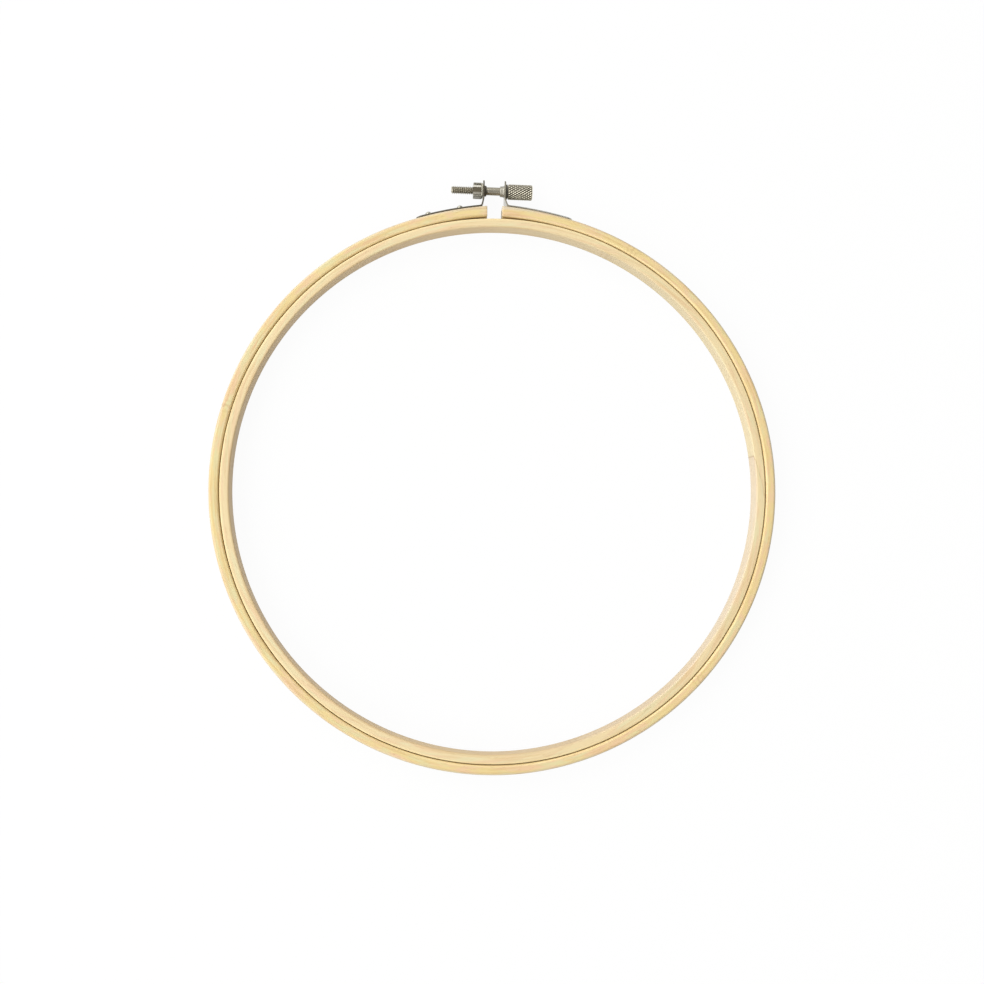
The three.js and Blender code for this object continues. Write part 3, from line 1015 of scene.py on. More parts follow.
@dataclass
class Bracket(SteelPiece):
    """A strip of plated steel nailed to the hoop and bent up into an ear, pierced for the screw."""

    node: str  # the CAD node that it stands for
    side: Side  # which side of the gap it is on
    collar: float  # length of the collar that the piercing left
    sheared: float  # how dark and dull its sheared edge is painted on the ear: duller bare steel and painted shade
    tail_dull: float  # the same at the end of the tail
    pierced: float  # how dark the collar is painted: painted shade
    strip: Strip = Strip()  # what it is bent from
    tail: float = 24.92  # length along the hoop
    tail_corner: float = 2.2  # radius of the tail's corners
    bend: float = 1.1  # radius of the bends, to the middle of the strip
    foot: float = 3.6  # height over the hoop at which the ear stands upright
    hole: float = 1.65  # radius of the hole
    lip: float = 0.3  # thickness of the collar at its lip
    flare: float = 0.55  # how much wider the collar is at its root
    rub: float = 0.12  # how far the hole's edge is rubbed off at the back
    nick: float = 0.05  # the same at the collar's lip
    edge: float = 0.09  # width of the small bevels
    plain: float = 3.6  # how far under the screw the ear's straight sides reach

    collar_root: ClassVar[float] = 0.75  # share of the collar's length over which it flares
    flare_along: ClassVar[float] = 1.8  # how quickly the flare starts along the collar
    flare_out: ClassVar[float] = 2.4  # how quickly it opens outwards
    bend_step: ClassVar[float] = 12  # largest turn between two steps of a bend, in degrees
    # Steps along each stretch of the ear's edge, along the collar, the tail and the tail's corners.
    bottom_steps: ClassVar[int] = 12
    side_steps: ClassVar[int] = 4
    top_steps: ClassVar[int] = 24
    collar_steps: ClassVar[int] = 6
    tail_steps: ClassVar[int] = 40
    corner_steps: ClassVar[int] = 8

    @property
    def name(self) -> str:
        """The piece's name."""
        return f"{self.node}_bent_strip"

    @property
    def nodes(self) -> tuple[str, ...]:
        """The CAD node that it stands for."""
        return (self.node,)

    def outline(self) -> Outline:
        """The ear's edge, from one bottom corner along the bottom, up one side and over the round top.

        Returns:
            Outward and upward places.
        """
        half = self.strip.width / 2
        bottom, side = self.bottom_steps, self.side_steps
        over = [math.pi * k / self.top_steps for k in range(self.top_steps)]
        points = [(-self.plain, half * (2 * k / bottom - 1)) for k in range(bottom)]
        points += [(-self.plain * (1 - k / side), half) for k in range(side)]
        points += [(half * math.sin(angle), half * math.cos(angle)) for angle in over]
        points += [(-self.plain * k / side, -half) for k in range(side)]
        return points

    def hole_wall(self) -> Outline:
        """The hole and the collar round it, from the ear's back, to the lip and out to the ear's front.

        Returns:
            Places along the screw and radii.
        """
        front, back = self.strip.ear, self.strip.ear + self.strip.sheet
        end, lip, nick = front - self.collar, self.hole + self.lip, self.nick
        wall = [(back, self.hole + self.rub), (back - self.rub, self.hole), (end + 0.8 * nick, self.hole)]
        wall += [(end, self.hole + nick), (end, lip - nick), (end + nick, lip)]
        for k in range(self.collar_steps + 1):
            share = k / self.collar_steps
            along = front - self.collar * self.collar_root * (1 - share) ** self.flare_along
            wall.append((along, lip + 0.8 * nick + self.flare * share**self.flare_out))
        return wall

    def on_ear(self, along: float, out: float, z: float) -> Vector:
        """A point given away from the gap, away from the hoops and over the screw, as metres in the frame."""
        return self.layout.in_clamp(self.side.value * along, out, z)

    def on_tail(self, x: float, y: float, z: float) -> Vector:
        """A point given by its place in the frame and its height over the strip's middle, in metres."""
        return Vector((x, y, self.layout.height / 2 + z)) * MM

    def on_rim(self, angle: float) -> Vector:
        """The middle of the strip on the hoop, at an angle from the clamp, in the frame's millimetres."""
        reach = self.strip.radius(self.layout) + self.strip.sprung * self.layout.sprung(angle)
        return self.layout.centre.xy + Vector((self.side.value * math.sin(angle), math.cos(angle))) * reach

    def path(self) -> list[Vector]:
        """The middle of the strip from the ear's foot to the end of the tail.

        Returns:
            The path's points, in the frame's millimetres.
        """
        layout = self.layout
        middle = self.side.value * (self.strip.ear + self.strip.sheet / 2)
        rise = (layout.clamp - layout.centre).y - layout.outside
        start = layout.in_clamp(middle, -self.plain, 0).xy / MM
        knee = layout.in_clamp(middle, self.foot - rise, 0).xy / MM
        foot_angle = self.strip.bend_angle(layout)
        past_bend = foot_angle + 2 * self.bend / self.strip.radius(layout)
        corners = [start, knee, self.on_rim(foot_angle), self.on_rim(past_bend)]
        left = foot_angle + self.tail / layout.outside - past_bend
        angles = [past_bend + left * k / self.tail_steps for k in range(1, self.tail_steps + 1)]
        return rounded_path(corners, self.bend, self.bend_step) + [self.on_rim(angle) for angle in angles]

    def stations(self) -> list[Station]:
        """The steps of the strip after the ear.

        Returns:
            The steps, to the end of the tail.
        """
        path = self.path()
        side, half, sheet = self.side.value, self.strip.width / 2, self.strip.sheet / 2
        total = sum((after - before).length for before, after in zip(path, path[1:]))
        stations = []
        done = 0.0
        for before, here, after in zip(path, path[1:], [*path[2:], path[-1]]):
            done += (here - before).length
            if total - done < self.tail_corner:
                break
            through = Vector((before.y - after.y, after.x - before.x)).normalized() * side
            # The edge's paint, duller steel and painted shade, fades from the ear's value to the tail end's.
            dull = self.sheared + (self.tail_dull - self.sheared) * done / total
            stations.append(Station(here, through, half, sheet, dull))
        ahead = (path[-1] - path[-2]).normalized()
        through = Vector((-ahead.y, ahead.x)) * side
        for k in range(self.corner_steps + 1):
            angle = math.pi / 2 * k / self.corner_steps
            back = self.tail_corner * (1 - math.sin(angle))
            sagitta = back**2 / 2 / self.layout.outside
            width = half - self.tail_corner * (1 - math.cos(angle))
            middle = path[-1] - ahead * back - through * sagitta
            stations.append(Station(middle, through, width, sheet, self.tail_dull))
        return [*stations, replace(stations[-1], half_sheet=sheet - self.edge)]

    def lay(self) -> None:
        """Lays the pierced ear and the strip that runs on from its foot."""
        ear, outline = self.strip.ear, self.outline()
        plate = PiercedPlate(
            self.shell, self.on_ear, front=ear, back=ear + self.strip.sheet, outline=outline,
            hole=self.hole_wall(), edge=self.edge, round_top=True, sheared=self.sheared, pierced=self.pierced,
        )
        plate.rim([*range(self.bottom_steps, len(outline)), 0])
        plate.run_on(range(self.bottom_steps + 1), self.stations(), self.on_tail)


@dataclass
class NutCage(SteelPiece):
    """A folded channel of plated steel, whose web lies on the ear and whose flanges hold the nut."""

    name: ClassVar[str] = "folded_nut_cage"
    nodes: ClassVar[tuple[str, ...]] = ("nut_cage",)
    start: float = 4.4  # where the web starts, from the middle of the clamp
    end: float = 8.0  # where the flanges end
    sheet: float = 0.5  # thickness of the sheet
    width: float = 4.4  # width of the channel
    half_height: float = 2.35  # distance from the screw's axis to the middle of a flange
    bend: float = 0.45  # radius of the bends, to the middle of the sheet
    hole: float = 1.65  # radius of the hole
    edge: float = 0.15  # width of the small bevels
    web_edge: float = 0.0  # how dark and dull the web's edges are painted
    # How dark and dull the flanges' edges are painted, towards the hoop and away from it: duller bare steel
    # and painted shade.
    flange_edges: tuple[float, float] = (0.15, 0.1)
    flange_faces: tuple[float, float] = (0.5, 0.0)  # how dark their faces are painted: a painted dark reflection on the flange towards the hoop

    # Steps across the web, along its sides and round each bend.
    across_steps: ClassVar[int] = 10
    side_steps: ClassVar[int] = 8
    bend_steps: ClassVar[int] = 6

    def on_ear(self, along: float, out: float, z: float) -> Vector:
        """A point given away from the gap, away from the hoops and over the screw, as metres in the frame."""
        return self.layout.in_clamp(Side.NUT.value * along, out, z)

    def flange(self, sign: int, dull: float, face_dull: float) -> list[Station]:
        """The steps of one flange, from the web's edge to its end.

        Args:
            sign: 1 for the flange on the outside of the clamp, -1 for the one towards the hoop.
            dull: How dull its sheared edges are.
            face_dull: How dull its faces are.

        Returns:
            The steps.
        """
        centre = Vector((self.start + self.sheet / 2 + self.bend, sign * (self.half_height - self.bend)))
        half, sheet = self.width / 2, self.sheet / 2
        stations = []
        for k in range(1, self.bend_steps + 1):
            angle = math.pi * (1 - k / self.bend_steps / 2)
            outward = Vector((math.cos(angle), sign * math.sin(angle)))
            stations.append(Station(centre + outward * self.bend, -outward, half, sheet, dull, face_dull))
        tip = Vector((self.end, sign * self.half_height))
        inward = Vector((0, -sign))
        stations.append(Station(tip - Vector((self.edge, 0)), inward, half, sheet, dull, face_dull))
        stations.append(Station(tip, inward, half - self.edge, sheet - self.edge, dull, face_dull))
        return stations

    def lay(self) -> None:
        """Lays the pierced web and the two flanges that run on from it."""
        half, flat, back = self.width / 2, self.half_height - self.bend, self.start + self.sheet
        steps, sides = self.across_steps, self.side_steps
        outline = [(-flat, half * (2 * k / steps - 1)) for k in range(steps)]
        outline += [(-flat + 2 * flat * k / sides, half) for k in range(sides)]
        outline += [(flat, half * (1 - 2 * k / steps)) for k in range(steps)]
        outline += [(flat - 2 * flat * k / sides, -half) for k in range(sides)]
        # The web's hole is painted fully dark: painted shade.
        plate = PiercedPlate(
            self.shell, self.on_ear, front=self.start, back=back, outline=outline,
            hole=[(back, self.hole), (self.start, self.hole)],
            edge=self.edge, round_top=False, sheared=self.web_edge, pierced=1.0,
        )
        plate.rim(range(steps, steps + sides + 1))
        plate.rim([*range(2 * steps + sides, 2 * (steps + sides)), 0])
        edges = range(steps + 1), range(steps + sides, 2 * steps + sides + 1)
        for sign, numbers, *dull in zip((-1, 1), edges, self.flange_edges, self.flange_faces):
            plate.run_on(numbers, self.flange(sign, *dull), self.on_ear)


@dataclass(frozen=True)
class Screwing:
    """A thread as both the screw and the nut have it."""

    crest: float = 1.5  # radius over the crests
    pitch: float = 0.7  # distance that one turn moves
    depth: float = 0.42  # depth of the grooves
    # Where a groove starts and ends, as shares of the way from its floor to the crest.
    flanks: tuple[float, float] = (0.1, 0.9)

    def cut(self, along: float, angle: float) -> float:
        """How deep the groove is, in millimetres.

        Args:
            along: The place along the axis.
            angle: The angle round it.

        Returns:
            The depth there.
        """
        ridge = abs(2 * ((along / self.pitch - angle / TURN) % 1) - 1)
        floor, top = self.flanks
        return self.depth * min(max((top - ridge) / (top - floor), 0), 1)


@dataclass
class SquareNut(SteelPiece):
    """A square nut whose upper and lower faces fall away to their sides, tapped for the screw."""

    name: ClassVar[str] = "tapped_square_nut"
    nodes: ClassVar[tuple[str, ...]] = ("square_nut",)
    sharp: ClassVar[float] = 30
    even: ClassVar[bool] = False
    thread: Screwing = Screwing(crest=1.62)  # the thread in its bore
    start: float = 5.0  # where it starts, from the clamp's middle
    length: float = 3.0  # its length along the screw
    half: float = 2.0  # half its width
    flat: float = 1.12  # half the width of its flat upper and lower faces
    fall: float = 0.32  # how far those faces fall away beside the flat
    edge: float = 0.14  # width of the bevels round both ends
    flat_shade: float = 1.0  # how dark the flat faces and the bore are painted: a painted dark reflection on the flats, painted shade in the bore
    slope_shade: float = 0.6  # how dark the faces beside them are painted, towards the hoop: painted shade
    sides: int = 64  # faces round the bore
    rows: int = 44  # rows of faces along the bore
    same: float = 0.01  # lengths nearer to each other than this count as the same

    @property
    def angles(self) -> list[float]:
        """The bore's corners, as angles round the screw."""
        return [TURN * (i + 0.5) / self.sides for i in range(self.sides)]

    def outline(self, inset: float) -> Outline:
        """The nut's section, with one point for each side of the bore.

        Args:
            inset: How far inside the full section.

        Returns:
            Outward and upward places.
        """
        wide = self.half - self.flat
        most = self.fall * self.flat + wide * self.half - inset * math.hypot(self.fall, wide)
        points = []
        for angle in self.angles:
            cos, sin = math.cos(angle), math.sin(angle)
            square = (self.half - inset) / max(abs(cos), abs(sin))
            reach = min(square, most / (self.fall * abs(cos) + wide * abs(sin)))
            points.append((reach * cos, reach * sin))
        return points

    def shades(self) -> list[float]:
        """How dark each face round the nut is painted.

        Returns:
            The flats' shade, the slopes' towards the hoop, and 0 for the slopes away from it.
        """
        corners = self.outline(0)
        on_square = [max(abs(out), abs(z)) > self.half - self.same for out, z in corners]
        slopes = [self.slope_shade if out < 0 else 0.0 for out, _ in corners]
        return [
            self.flat_shade if on and next_on else slope
            for on, next_on, slope in zip(on_square, on_square[1:] + on_square[:1], slopes)
        ]

    def bore(self, along: float) -> list[int]:
        """Adds one row of the tapped bore.

        Args:
            along: The row's place along the screw.

        Returns:
            The numbers of its corners.
        """
        thread = self.thread
        points = []
        for angle in self.angles:
            radius = thread.crest - thread.depth + thread.cut(along + thread.pitch / 2, angle)
            points.append(self.layout.in_clamp(along, radius * math.cos(angle), radius * math.sin(angle)))
        return self.shell.row(points)

    def lay(self) -> None:
        """Lays the nut's outside, from one end to the other, and its bore back again."""
        near, far, edge = -self.start, -self.start - self.length, self.edge
        outside = [
            self.shell.row([self.layout.in_clamp(along, out, z) for out, z in self.outline(inset)])
            for along, inset in ((near, edge), (near - edge, 0), (far + edge, 0), (far, edge))
        ]
        inside = [self.bore(far + (near - far) * k / self.rows) for k in range(self.rows + 1)]
        rows = [*outside, *inside, outside[0]]
        shades = self.shades()
        for number, (first, second) in enumerate(zip(rows, rows[1:])):
            shade = shades if number < len(outside) - 1 else self.flat_shade
            self.shell.skin(first, second, closed=True, shade=shade)


@dataclass
class Washer(SteelPiece):
    """A punched washer with one edge rolled over."""

    name: ClassVar[str] = "punched_washer"
    nodes: ClassVar[tuple[str, ...]] = ("washer",)
    body: ClassVar[str] = "washer"
    start: float = 4.4  # where it starts, from the clamp's middle
    thickness: float = 0.6  # its thickness
    radius: float = 2.8  # its radius
    hole: float = 1.65  # radius of its hole
    edge: float = 0.12  # how far its edges are rubbed off. The punched edge is rolled over twice as far.
    sides: int = 96  # faces round it
    # The rolled edge's profile: how far in from the face and from the rim, in widths of the edge.
    rolled: ClassVar[tuple[tuple[float, float], ...]] = ((0, 2), (0.3, 0.8), (1, 0.15), (2, 0))

    def lay(self) -> None:
        """Turns the washer's profile round the screw."""
        near, far, edge = self.start, self.start + self.thickness, self.edge
        rolled = [(near + down * edge, self.radius - inward * edge) for down, inward in self.rolled]
        profile = [
            (near, self.hole + edge),
            *rolled,
            (far - edge / 2, self.radius),
            (far, self.radius - edge / 2),
            (far, self.hole + edge / 2),
            (far - edge / 2, self.hole),
            (near + edge, self.hole),
        ]
        place = self.layout.in_clamp
        angles = [TURN * i / self.sides for i in range(self.sides)]
        rows = [
            self.shell.row([place(along, radius * math.cos(a), radius * math.sin(a)) for a in angles])
            for along, radius in profile
        ]
        self.shell.bands([*rows, rows[0]])


@dataclass
class ClampScrew(SteelPiece):
    """The screw: knurled head, plain shank and rolled thread, in one piece.

    Geometry Nodes turn its profile round the axis and sink the thread and the knurl into it.
    """

    name: ClassVar[str] = "turned_clamp_screw"
    nodes: ClassVar[tuple[str, ...]] = ("clamp_screw",)
    body: ClassVar[str] = "screw"
    sharp: ClassVar[float] = 45
    even: ClassVar[bool] = False
    thread: Screwing = Screwing()  # its thread
    tip: float = -16.3  # where the screw ends, from the clamp's middle
    thread_end: float = -3.5  # where the thread runs out
    runout: float = 0.7  # length over which it runs out
    head_start: float = 5.1  # where the head starts
    head_length: float = 9.3  # length of the head
    head_radius: float = 2.9  # its radius
    head_chamfer: float = 0.35  # width of the chamfers at its ends
    tip_chamfer: float = 0.5  # width of the chamfer at the tip
    fillet: float = 0.15  # radius between the shank and the head
    dimple: float = 0.06  # depth of the turned face at the head's end
    dimple_rim: float = 0.8  # radius of that face, as a share of the head's flat end
    dimple_floor: float = 0.74  # the same at its floor
    knurl_count: int = 19  # diamonds round the head
    knurl_pitch: float = 1.45  # length of a diamond
    knurl_depth: float = 0.28  # depth of the knurl
    knurl_wide: float = 0.8  # width of its grooves, as a share of the distance between them
    knurl_sets: tuple[float, float] = (1.0, 0.5)  # how deep its two sets of grooves are, as shares
    knurl_shade: ClassVar[Ramp] = (0.1, 0.6, 0.0, 1.0)  # how dark and dull it is painted over the share of its depth: painted shade in its grooves
    shank_dull: float = 0.58  # how dark and dull the shank is
    crest_dull: float = 0.38  # how dark and dull the thread's crests are
    groove_shade: float = 0.35  # how much darker its grooves are painted: painted shade
    sides: int = 170  # faces round the screw
    fine: float = 0.07  # longest face along the thread and the knurl

    def profile(self) -> Outline:
        """The outline of half the screw, from the middle of the tip to the middle of the head's end.

        Returns:
            Places along the axis and radii.
        """
        shank, radius, chamfer = self.thread.crest, self.head_radius, self.head_chamfer
        start, end, rim = self.head_start, self.head_start + self.head_length, radius - chamfer
        tip_rim = shank - self.tip_chamfer
        thread_steps = math.ceil((self.thread_end - self.tip) / self.fine)
        knurl_steps = math.ceil((end - start) / self.fine)
        points = [(self.tip, 0.0)]
        for along, radius_there, steps in (
            (self.tip, tip_rim * 0.6, 1),
            (self.tip, tip_rim, 1),
            (self.tip + self.tip_chamfer, shank, 5),
            (self.thread_end, shank, thread_steps),
            (start - self.fillet, shank, 4),
            (start, shank + self.fillet, 2),
            (start, rim, 2),
            (start + chamfer, radius, 4),
            (end - chamfer, radius, knurl_steps),
            (end, rim, 4),
            (end, rim * self.dimple_rim, 2),
            (end - self.dimple, rim * self.dimple_floor, 2),
            (end - self.dimple, 0, 3),
        ):
            before = Vector(points[-1])
            leg = Vector((along, radius_there)) - before
            points += [tuple(before + leg * k / steps) for k in range(1, steps + 1)]
        return points

    def unrolled(self, node: Adder, given: Mapping) -> tuple:
        """Adds a grid with a row for each of the profile's points, and its places on the screw.

        Args:
            node: Adds nodes to the screw's tree.
            given: The tree's inputs.

        Returns:
            The grid, the share of the way round, the place along the axis and the profile's radius.
        """
        here = node("GeometryNodeInputPosition")
        sized = node("GeometryNodeAttributeDomainSize", [given["Geometry"]], component="MESH")
        count = sized.outputs["Point Count"]
        around = node(MATH, [given["Sides"], 1.0], operation="ADD")
        sizes = {"Size X": 1.0, "Size Y": 1.0, "Vertices X": count, "Vertices Y": around}
        grid = node("GeometryNodeMeshGrid", sizes)
        place = node(SPLIT, [here]).outputs
        last = node(MATH, [count, 1.0], operation="SUBTRACT")
        share = node(MATH, [place["X"], 0.5], operation="ADD")
        row = node(MATH, [node(MATH, [share, last], operation="MULTIPLY")], operation="ROUND")
        sampled = {"Geometry": given["Geometry"], "Value": here, "Index": row}
        profile = node("GeometryNodeSampleIndex", sampled, data_type="FLOAT_VECTOR", domain="POINT")
        outline = node(SPLIT, [profile]).outputs
        turn = node(MATH, [place["Y"], 0.5], operation="ADD")
        return grid, turn, outline["X"], outline["Y"]

    @staticmethod
    def triangle(node: Adder, phase: Node) -> Node:
        """Adds a wave that falls from 1 to 0 and rises again with each whole step of the phase."""
        share = node(MATH, [phase], operation="FRACT")
        return node(MATH, [node(MATH, [share, 2.0, -1.0], operation="MULTIPLY_ADD")], operation="ABSOLUTE")

    def thread_cut(self, node: Adder, given: Mapping, turn: Node, along: Node) -> tuple[Node, Node]:
        """Adds the thread, which climbs one pitch a turn and whose groove fades out where it ends.

        Args:
            node: Adds nodes to the screw's tree.
            given: The tree's inputs.
            turn: The share of the way round.
            along: The place along the axis.

        Returns:
            How deep its groove is, and the share of the thread that is left there.
        """
        climbed = node(MATH, [along, given["Pitch"]], operation="DIVIDE")
        ridge = self.triangle(node, node(MATH, [climbed, turn], operation="SUBTRACT"))
        groove = node(RANGE, [ridge, *self.thread.flanks, 1.0, 0.0])
        past = node(MATH, [along, given["Thread end"]], operation="SUBTRACT")
        fade = node(RANGE, [past, -self.runout * MM, 0.0, 1.0, 0.0])
        threaded = node(MATH, [groove, fade], operation="MULTIPLY")
        return node(MATH, [threaded, given["Thread depth"]], operation="MULTIPLY"), fade

    def knurl_cut(self, node: Adder, given: Mapping, turn: Node, along: Node) -> Node:
        """Adds the knurl: two sets of grooves, one climbing to either hand, that leave pointed diamonds.

        Args:
            node: Adds nodes to the screw's tree.
            given: The tree's inputs.
            turn: The share of the way round.
            along: The place along the axis.

        Returns:
            How deep the knurl is.
        """
        spins = node(MATH, [turn, given["Knurl count"]], operation="MULTIPLY")
        rows = node(MATH, [along, given["Knurl pitch"]], operation="DIVIDE")
        grooves = []
        for operation, strength in zip(("ADD", "SUBTRACT"), self.knurl_sets):
            wave = self.triangle(node, node(MATH, [spins, rows], operation=operation))
            grooves.append(node(RANGE, [wave, 0.0, self.knurl_wide, strength, 0.0]))
        knurl = node(MATH, grooves, operation="MAXIMUM")
        return node(MATH, [knurl, given["Knurl depth"]], operation="MULTIPLY")

    def tree(self) -> NodeTree:
        """Builds the Geometry Nodes tree, with the sizes as its inputs.

        Returns:
            The tree.
        """
        lengths = {
            "Pitch": self.thread.pitch,
            "Thread depth": self.thread.depth,
            "Thread end": self.thread_end,
            "Knurl pitch": self.knurl_pitch,
            "Knurl depth": self.knurl_depth,
            "Head start": self.head_start,
            "Head radius": self.head_radius,
        }
        tree = sized_tree("turned_screw", lengths, {"Sides": self.sides, "Knurl count": self.knurl_count})
        node = partial(add_node, tree)
        given = node("NodeGroupInput").outputs
        grid, turn, along, radius = self.unrolled(node, given)
        thread_cut, fade = self.thread_cut(node, given, turn, along)
        on_head = node(MATH, [along, given["Head start"]], operation="GREATER_THAN")
        knurl_cut = node(MATH, [self.knurl_cut(node, given, turn, along), on_head], operation="MULTIPLY")

        # A groove only takes away what stands over its floor, so it runs out at the chamfers.
        widths = [on_head, self.thread.crest * MM, given["Head radius"]]
        full = node("GeometryNodeSwitch", widths, input_type="FLOAT")
        sunk = node(MATH, [thread_cut, knurl_cut], operation="ADD")
        floor = node(MATH, [full, sunk], operation="SUBTRACT")
        reach = node(MATH, [radius, floor], operation="MINIMUM")
        angle = node(MATH, [turn, TURN], operation="MULTIPLY")
        across = node(MATH, [reach, node(MATH, [angle], operation="COSINE")], operation="MULTIPLY")
        up = node(MATH, [reach, node(MATH, [angle], operation="SINE")], operation="MULTIPLY")

        # The thread's crests are brighter than the shank, and both sorts of groove are painted darker:
        # painted shade.
        cut = node(MATH, [radius, reach], operation="SUBTRACT")
        depth = node(MATH, [cut, given["Thread depth"]], operation="DIVIDE")
        crests = node(MATH, [fade, self.crest_dull - self.shank_dull, self.shank_dull], operation="MULTIPLY_ADD")
        in_thread = node(MATH, [depth, self.groove_shade, crests], operation="MULTIPLY_ADD")
        share_cut = node(MATH, [cut, given["Knurl depth"]], operation="DIVIDE")
        in_knurl = node(RANGE, [share_cut, *self.knurl_shade], **SMOOTH)
        recess = node("GeometryNodeSwitch", [on_head, in_thread, in_knurl], input_type="FLOAT")
        shaded = {"Geometry": grid, "Name": "recess", "Value": recess}
        stored = node("GeometryNodeStoreNamedAttribute", shaded, data_type="FLOAT", domain="POINT")
        turned = {"Geometry": stored, "Position": node(JOIN, [along, across, up])}
        moved = node("GeometryNodeSetPosition", turned)
        merged = node("GeometryNodeMergeByDistance", {"Geometry": moved, "Distance": MERGE})
        end_tree(node, merged, given["Material"])
        return tree

    def form(self) -> Object:
        """Makes the screw's profile, which its tree turns round the X axis.

        Returns:
            The object, with its modifier live.
        """
        points = self.profile()
        mesh = bpy.data.meshes.new(self.name)
        edges = [(i, i + 1) for i in range(len(points) - 1)]
        mesh.from_pydata([(along * MM, radius * MM, 0) for along, radius in points], edges, [])
        return with_tree(object_of(mesh, self.name), self.tree(), {"Material": self.finish.material()})

    def move(self, mesh: Mesh) -> None:
        """Turns every face of the screw outwards and brings it into the clamp.

        Args:
            mesh: The screw's mesh, round the X axis.
        """
        work = bmesh.new()
        work.from_mesh(mesh)
        bmesh.ops.dissolve_degenerate(work, edges=work.edges, dist=0.4 * MERGE)
        bmesh.ops.recalc_face_normals(work, faces=work.faces)
        work.to_mesh(mesh)
        work.free()
        mesh.transform(self.layout.clamp_matrix)


@dataclass
class Brads(SteelPiece):
    """The four domed brads, which Geometry Nodes set into the strips at points that face outwards."""

    name: ClassVar[str] = "bracket_brads"
    nodes: ClassVar[tuple[str, ...]] = tuple(
        f"{side}_bracket_brad_{number}" for side in ("nut", "screw") for number in (1, 2)
    )
    sharp: ClassVar[float] = 50
    even: ClassVar[bool] = False
    strip: Strip = Strip()  # the strip that they go through
    shank: float = 0.55  # radius of the shank
    head: float = 1.15  # radius of the head
    dome: float = 0.9  # height of the head
    buried: float = 3.35  # length under the head, without the point
    tip: float = 0.02  # radius of the point
    bulge: float = 0.02  # how far the head's underside bulges, as a share of a ball's
    places: tuple[float, ...] = (8.0, 20.0)  # distances along the hoop from the bend
    # How far the heads stand off the strip, on the nut's side and on the screw's.
    proud: tuple[float, float] = (0.7, 0.1)
    head_sides: int = 40  # faces round the head
    head_rings: int = 24  # rings of faces on a whole ball
    shank_sides: int = 20  # faces round the shank

    def head_nodes(self, node: Adder, given: Mapping) -> Node:
        """Adds the head: a ball with its upper half squashed to a dome and its lower half pressed flat.

        Args:
            node: Adds nodes to the brads' tree.
            given: The tree's inputs.

        Returns:
            The head, on the origin.
        """
        ball = {"Segments": self.head_sides, "Rings": self.head_rings, "Radius": given["Head radius"]}
        spot = node(SPLIT, [node("GeometryNodeInputPosition")]).outputs
        over = node(MATH, [spot["Z"], 0.0], operation="MAXIMUM")
        share = node(MATH, [given["Dome"], given["Head radius"]], operation="DIVIDE")
        domed = node(MATH, [over, share], operation="MULTIPLY")
        seat = node(MATH, [spot["Z"], 0.0], operation="MINIMUM")
        under = node(MATH, [seat, self.bulge], operation="MULTIPLY")
        level = node(MATH, [domed, under], operation="ADD")
        shaped = node(JOIN, [spot["X"], spot["Y"], level])
        round_head = node("GeometryNodeMeshUVSphere", ball)
        return node("GeometryNodeSetPosition", {"Geometry": round_head, "Position": shaped})

    def shank_nodes(self, node: Adder, given: Mapping) -> tuple[Node, Node]:
        """Adds the shank, which hangs under the origin, and the point under that.

        Args:
            node: Adds nodes to the brads' tree.
            given: The tree's inputs.

        Returns:
            The shank and the point.
        """
        radius, length = given["Shank radius"], given["Shank length"]
        rod = {"Vertices": self.shank_sides, "Radius": radius, "Depth": length}
        pin = node("GeometryNodeMeshCylinder", rod)
        cone = {"Vertices": self.shank_sides, "Radius Top": self.tip * MM, "Radius Bottom": radius}
        point = node("GeometryNodeMeshCone", {**cone, "Depth": radius})
        half, whole = (node(MATH, [length, -share], operation="MULTIPLY") for share in (0.5, 1.0))
        drop, low = (node(JOIN, [0.0, 0.0, depth]) for depth in (half, whole))
        turned = {"Geometry": point.outputs["Mesh"], "Translation": low, "Rotation": (math.pi, 0, 0)}
        hung = {"Geometry": pin.outputs["Mesh"], "Translation": drop}
        return node("GeometryNodeTransform", hung), node("GeometryNodeTransform", turned)

    def tree(self) -> NodeTree:
        """Builds the tree: a whole brad at each point, turned to face away from the hoop.

        Returns:
            The tree.
        """
        lengths = {
            "Head radius": self.head,
            "Dome": self.dome,
            "Shank radius": self.shank,
            "Shank length": self.buried,
        }
        tree = sized_tree("set_brads", lengths, {})
        node = partial(add_node, tree)
        given = node("NodeGroupInput").outputs
        brad = node("GeometryNodeMeshBoolean", operation="UNION", solver="EXACT")
        for part in (self.head_nodes(node, given), *self.shank_nodes(node, given)):
            tree.links.new(part.outputs[0], brad.inputs["Mesh 2"])
        outward = node("GeometryNodeInputNamedAttribute", {"Name": "outward"}, data_type="FLOAT_VECTOR")
        facing = node("FunctionNodeAlignRotationToVector", {"Vector": outward}, axis="Z")
        spread = {"Points": given["Geometry"], "Instance": brad, "Rotation": facing}
        end_tree(node, node("GeometryNodeInstanceOnPoints", spread), given["Material"])
        return tree

    def form(self) -> Object:
        """Makes a point for each brad, on which its tree sets the brad.

        Returns:
            The object, with its modifier live.
        """
        layout = self.layout
        rim = layout.outside + self.strip.seat + self.strip.sheet
        points, directions = [], []
        for side, proud in zip(Side, self.proud):
            for place in self.places:
                angle = self.strip.bend_angle(layout) + place / layout.outside
                outward = Vector((side.value * math.sin(angle), math.cos(angle), 0))
                head = outward * (rim + self.strip.sprung * layout.sprung(angle) + proud)
                points.append(tuple(layout.in_hoop(head.x, head.y, layout.height / 2)))
                directions.extend(outward)
        mesh = bpy.data.meshes.new(self.name)
        mesh.from_pydata(points, [], [])
        mesh.attributes.new("outward", "FLOAT_VECTOR", "POINT").data.foreach_set("vector", directions)
        return with_tree(object_of(mesh, self.name), self.tree(), {"Material": self.finish.material()})


# The studio


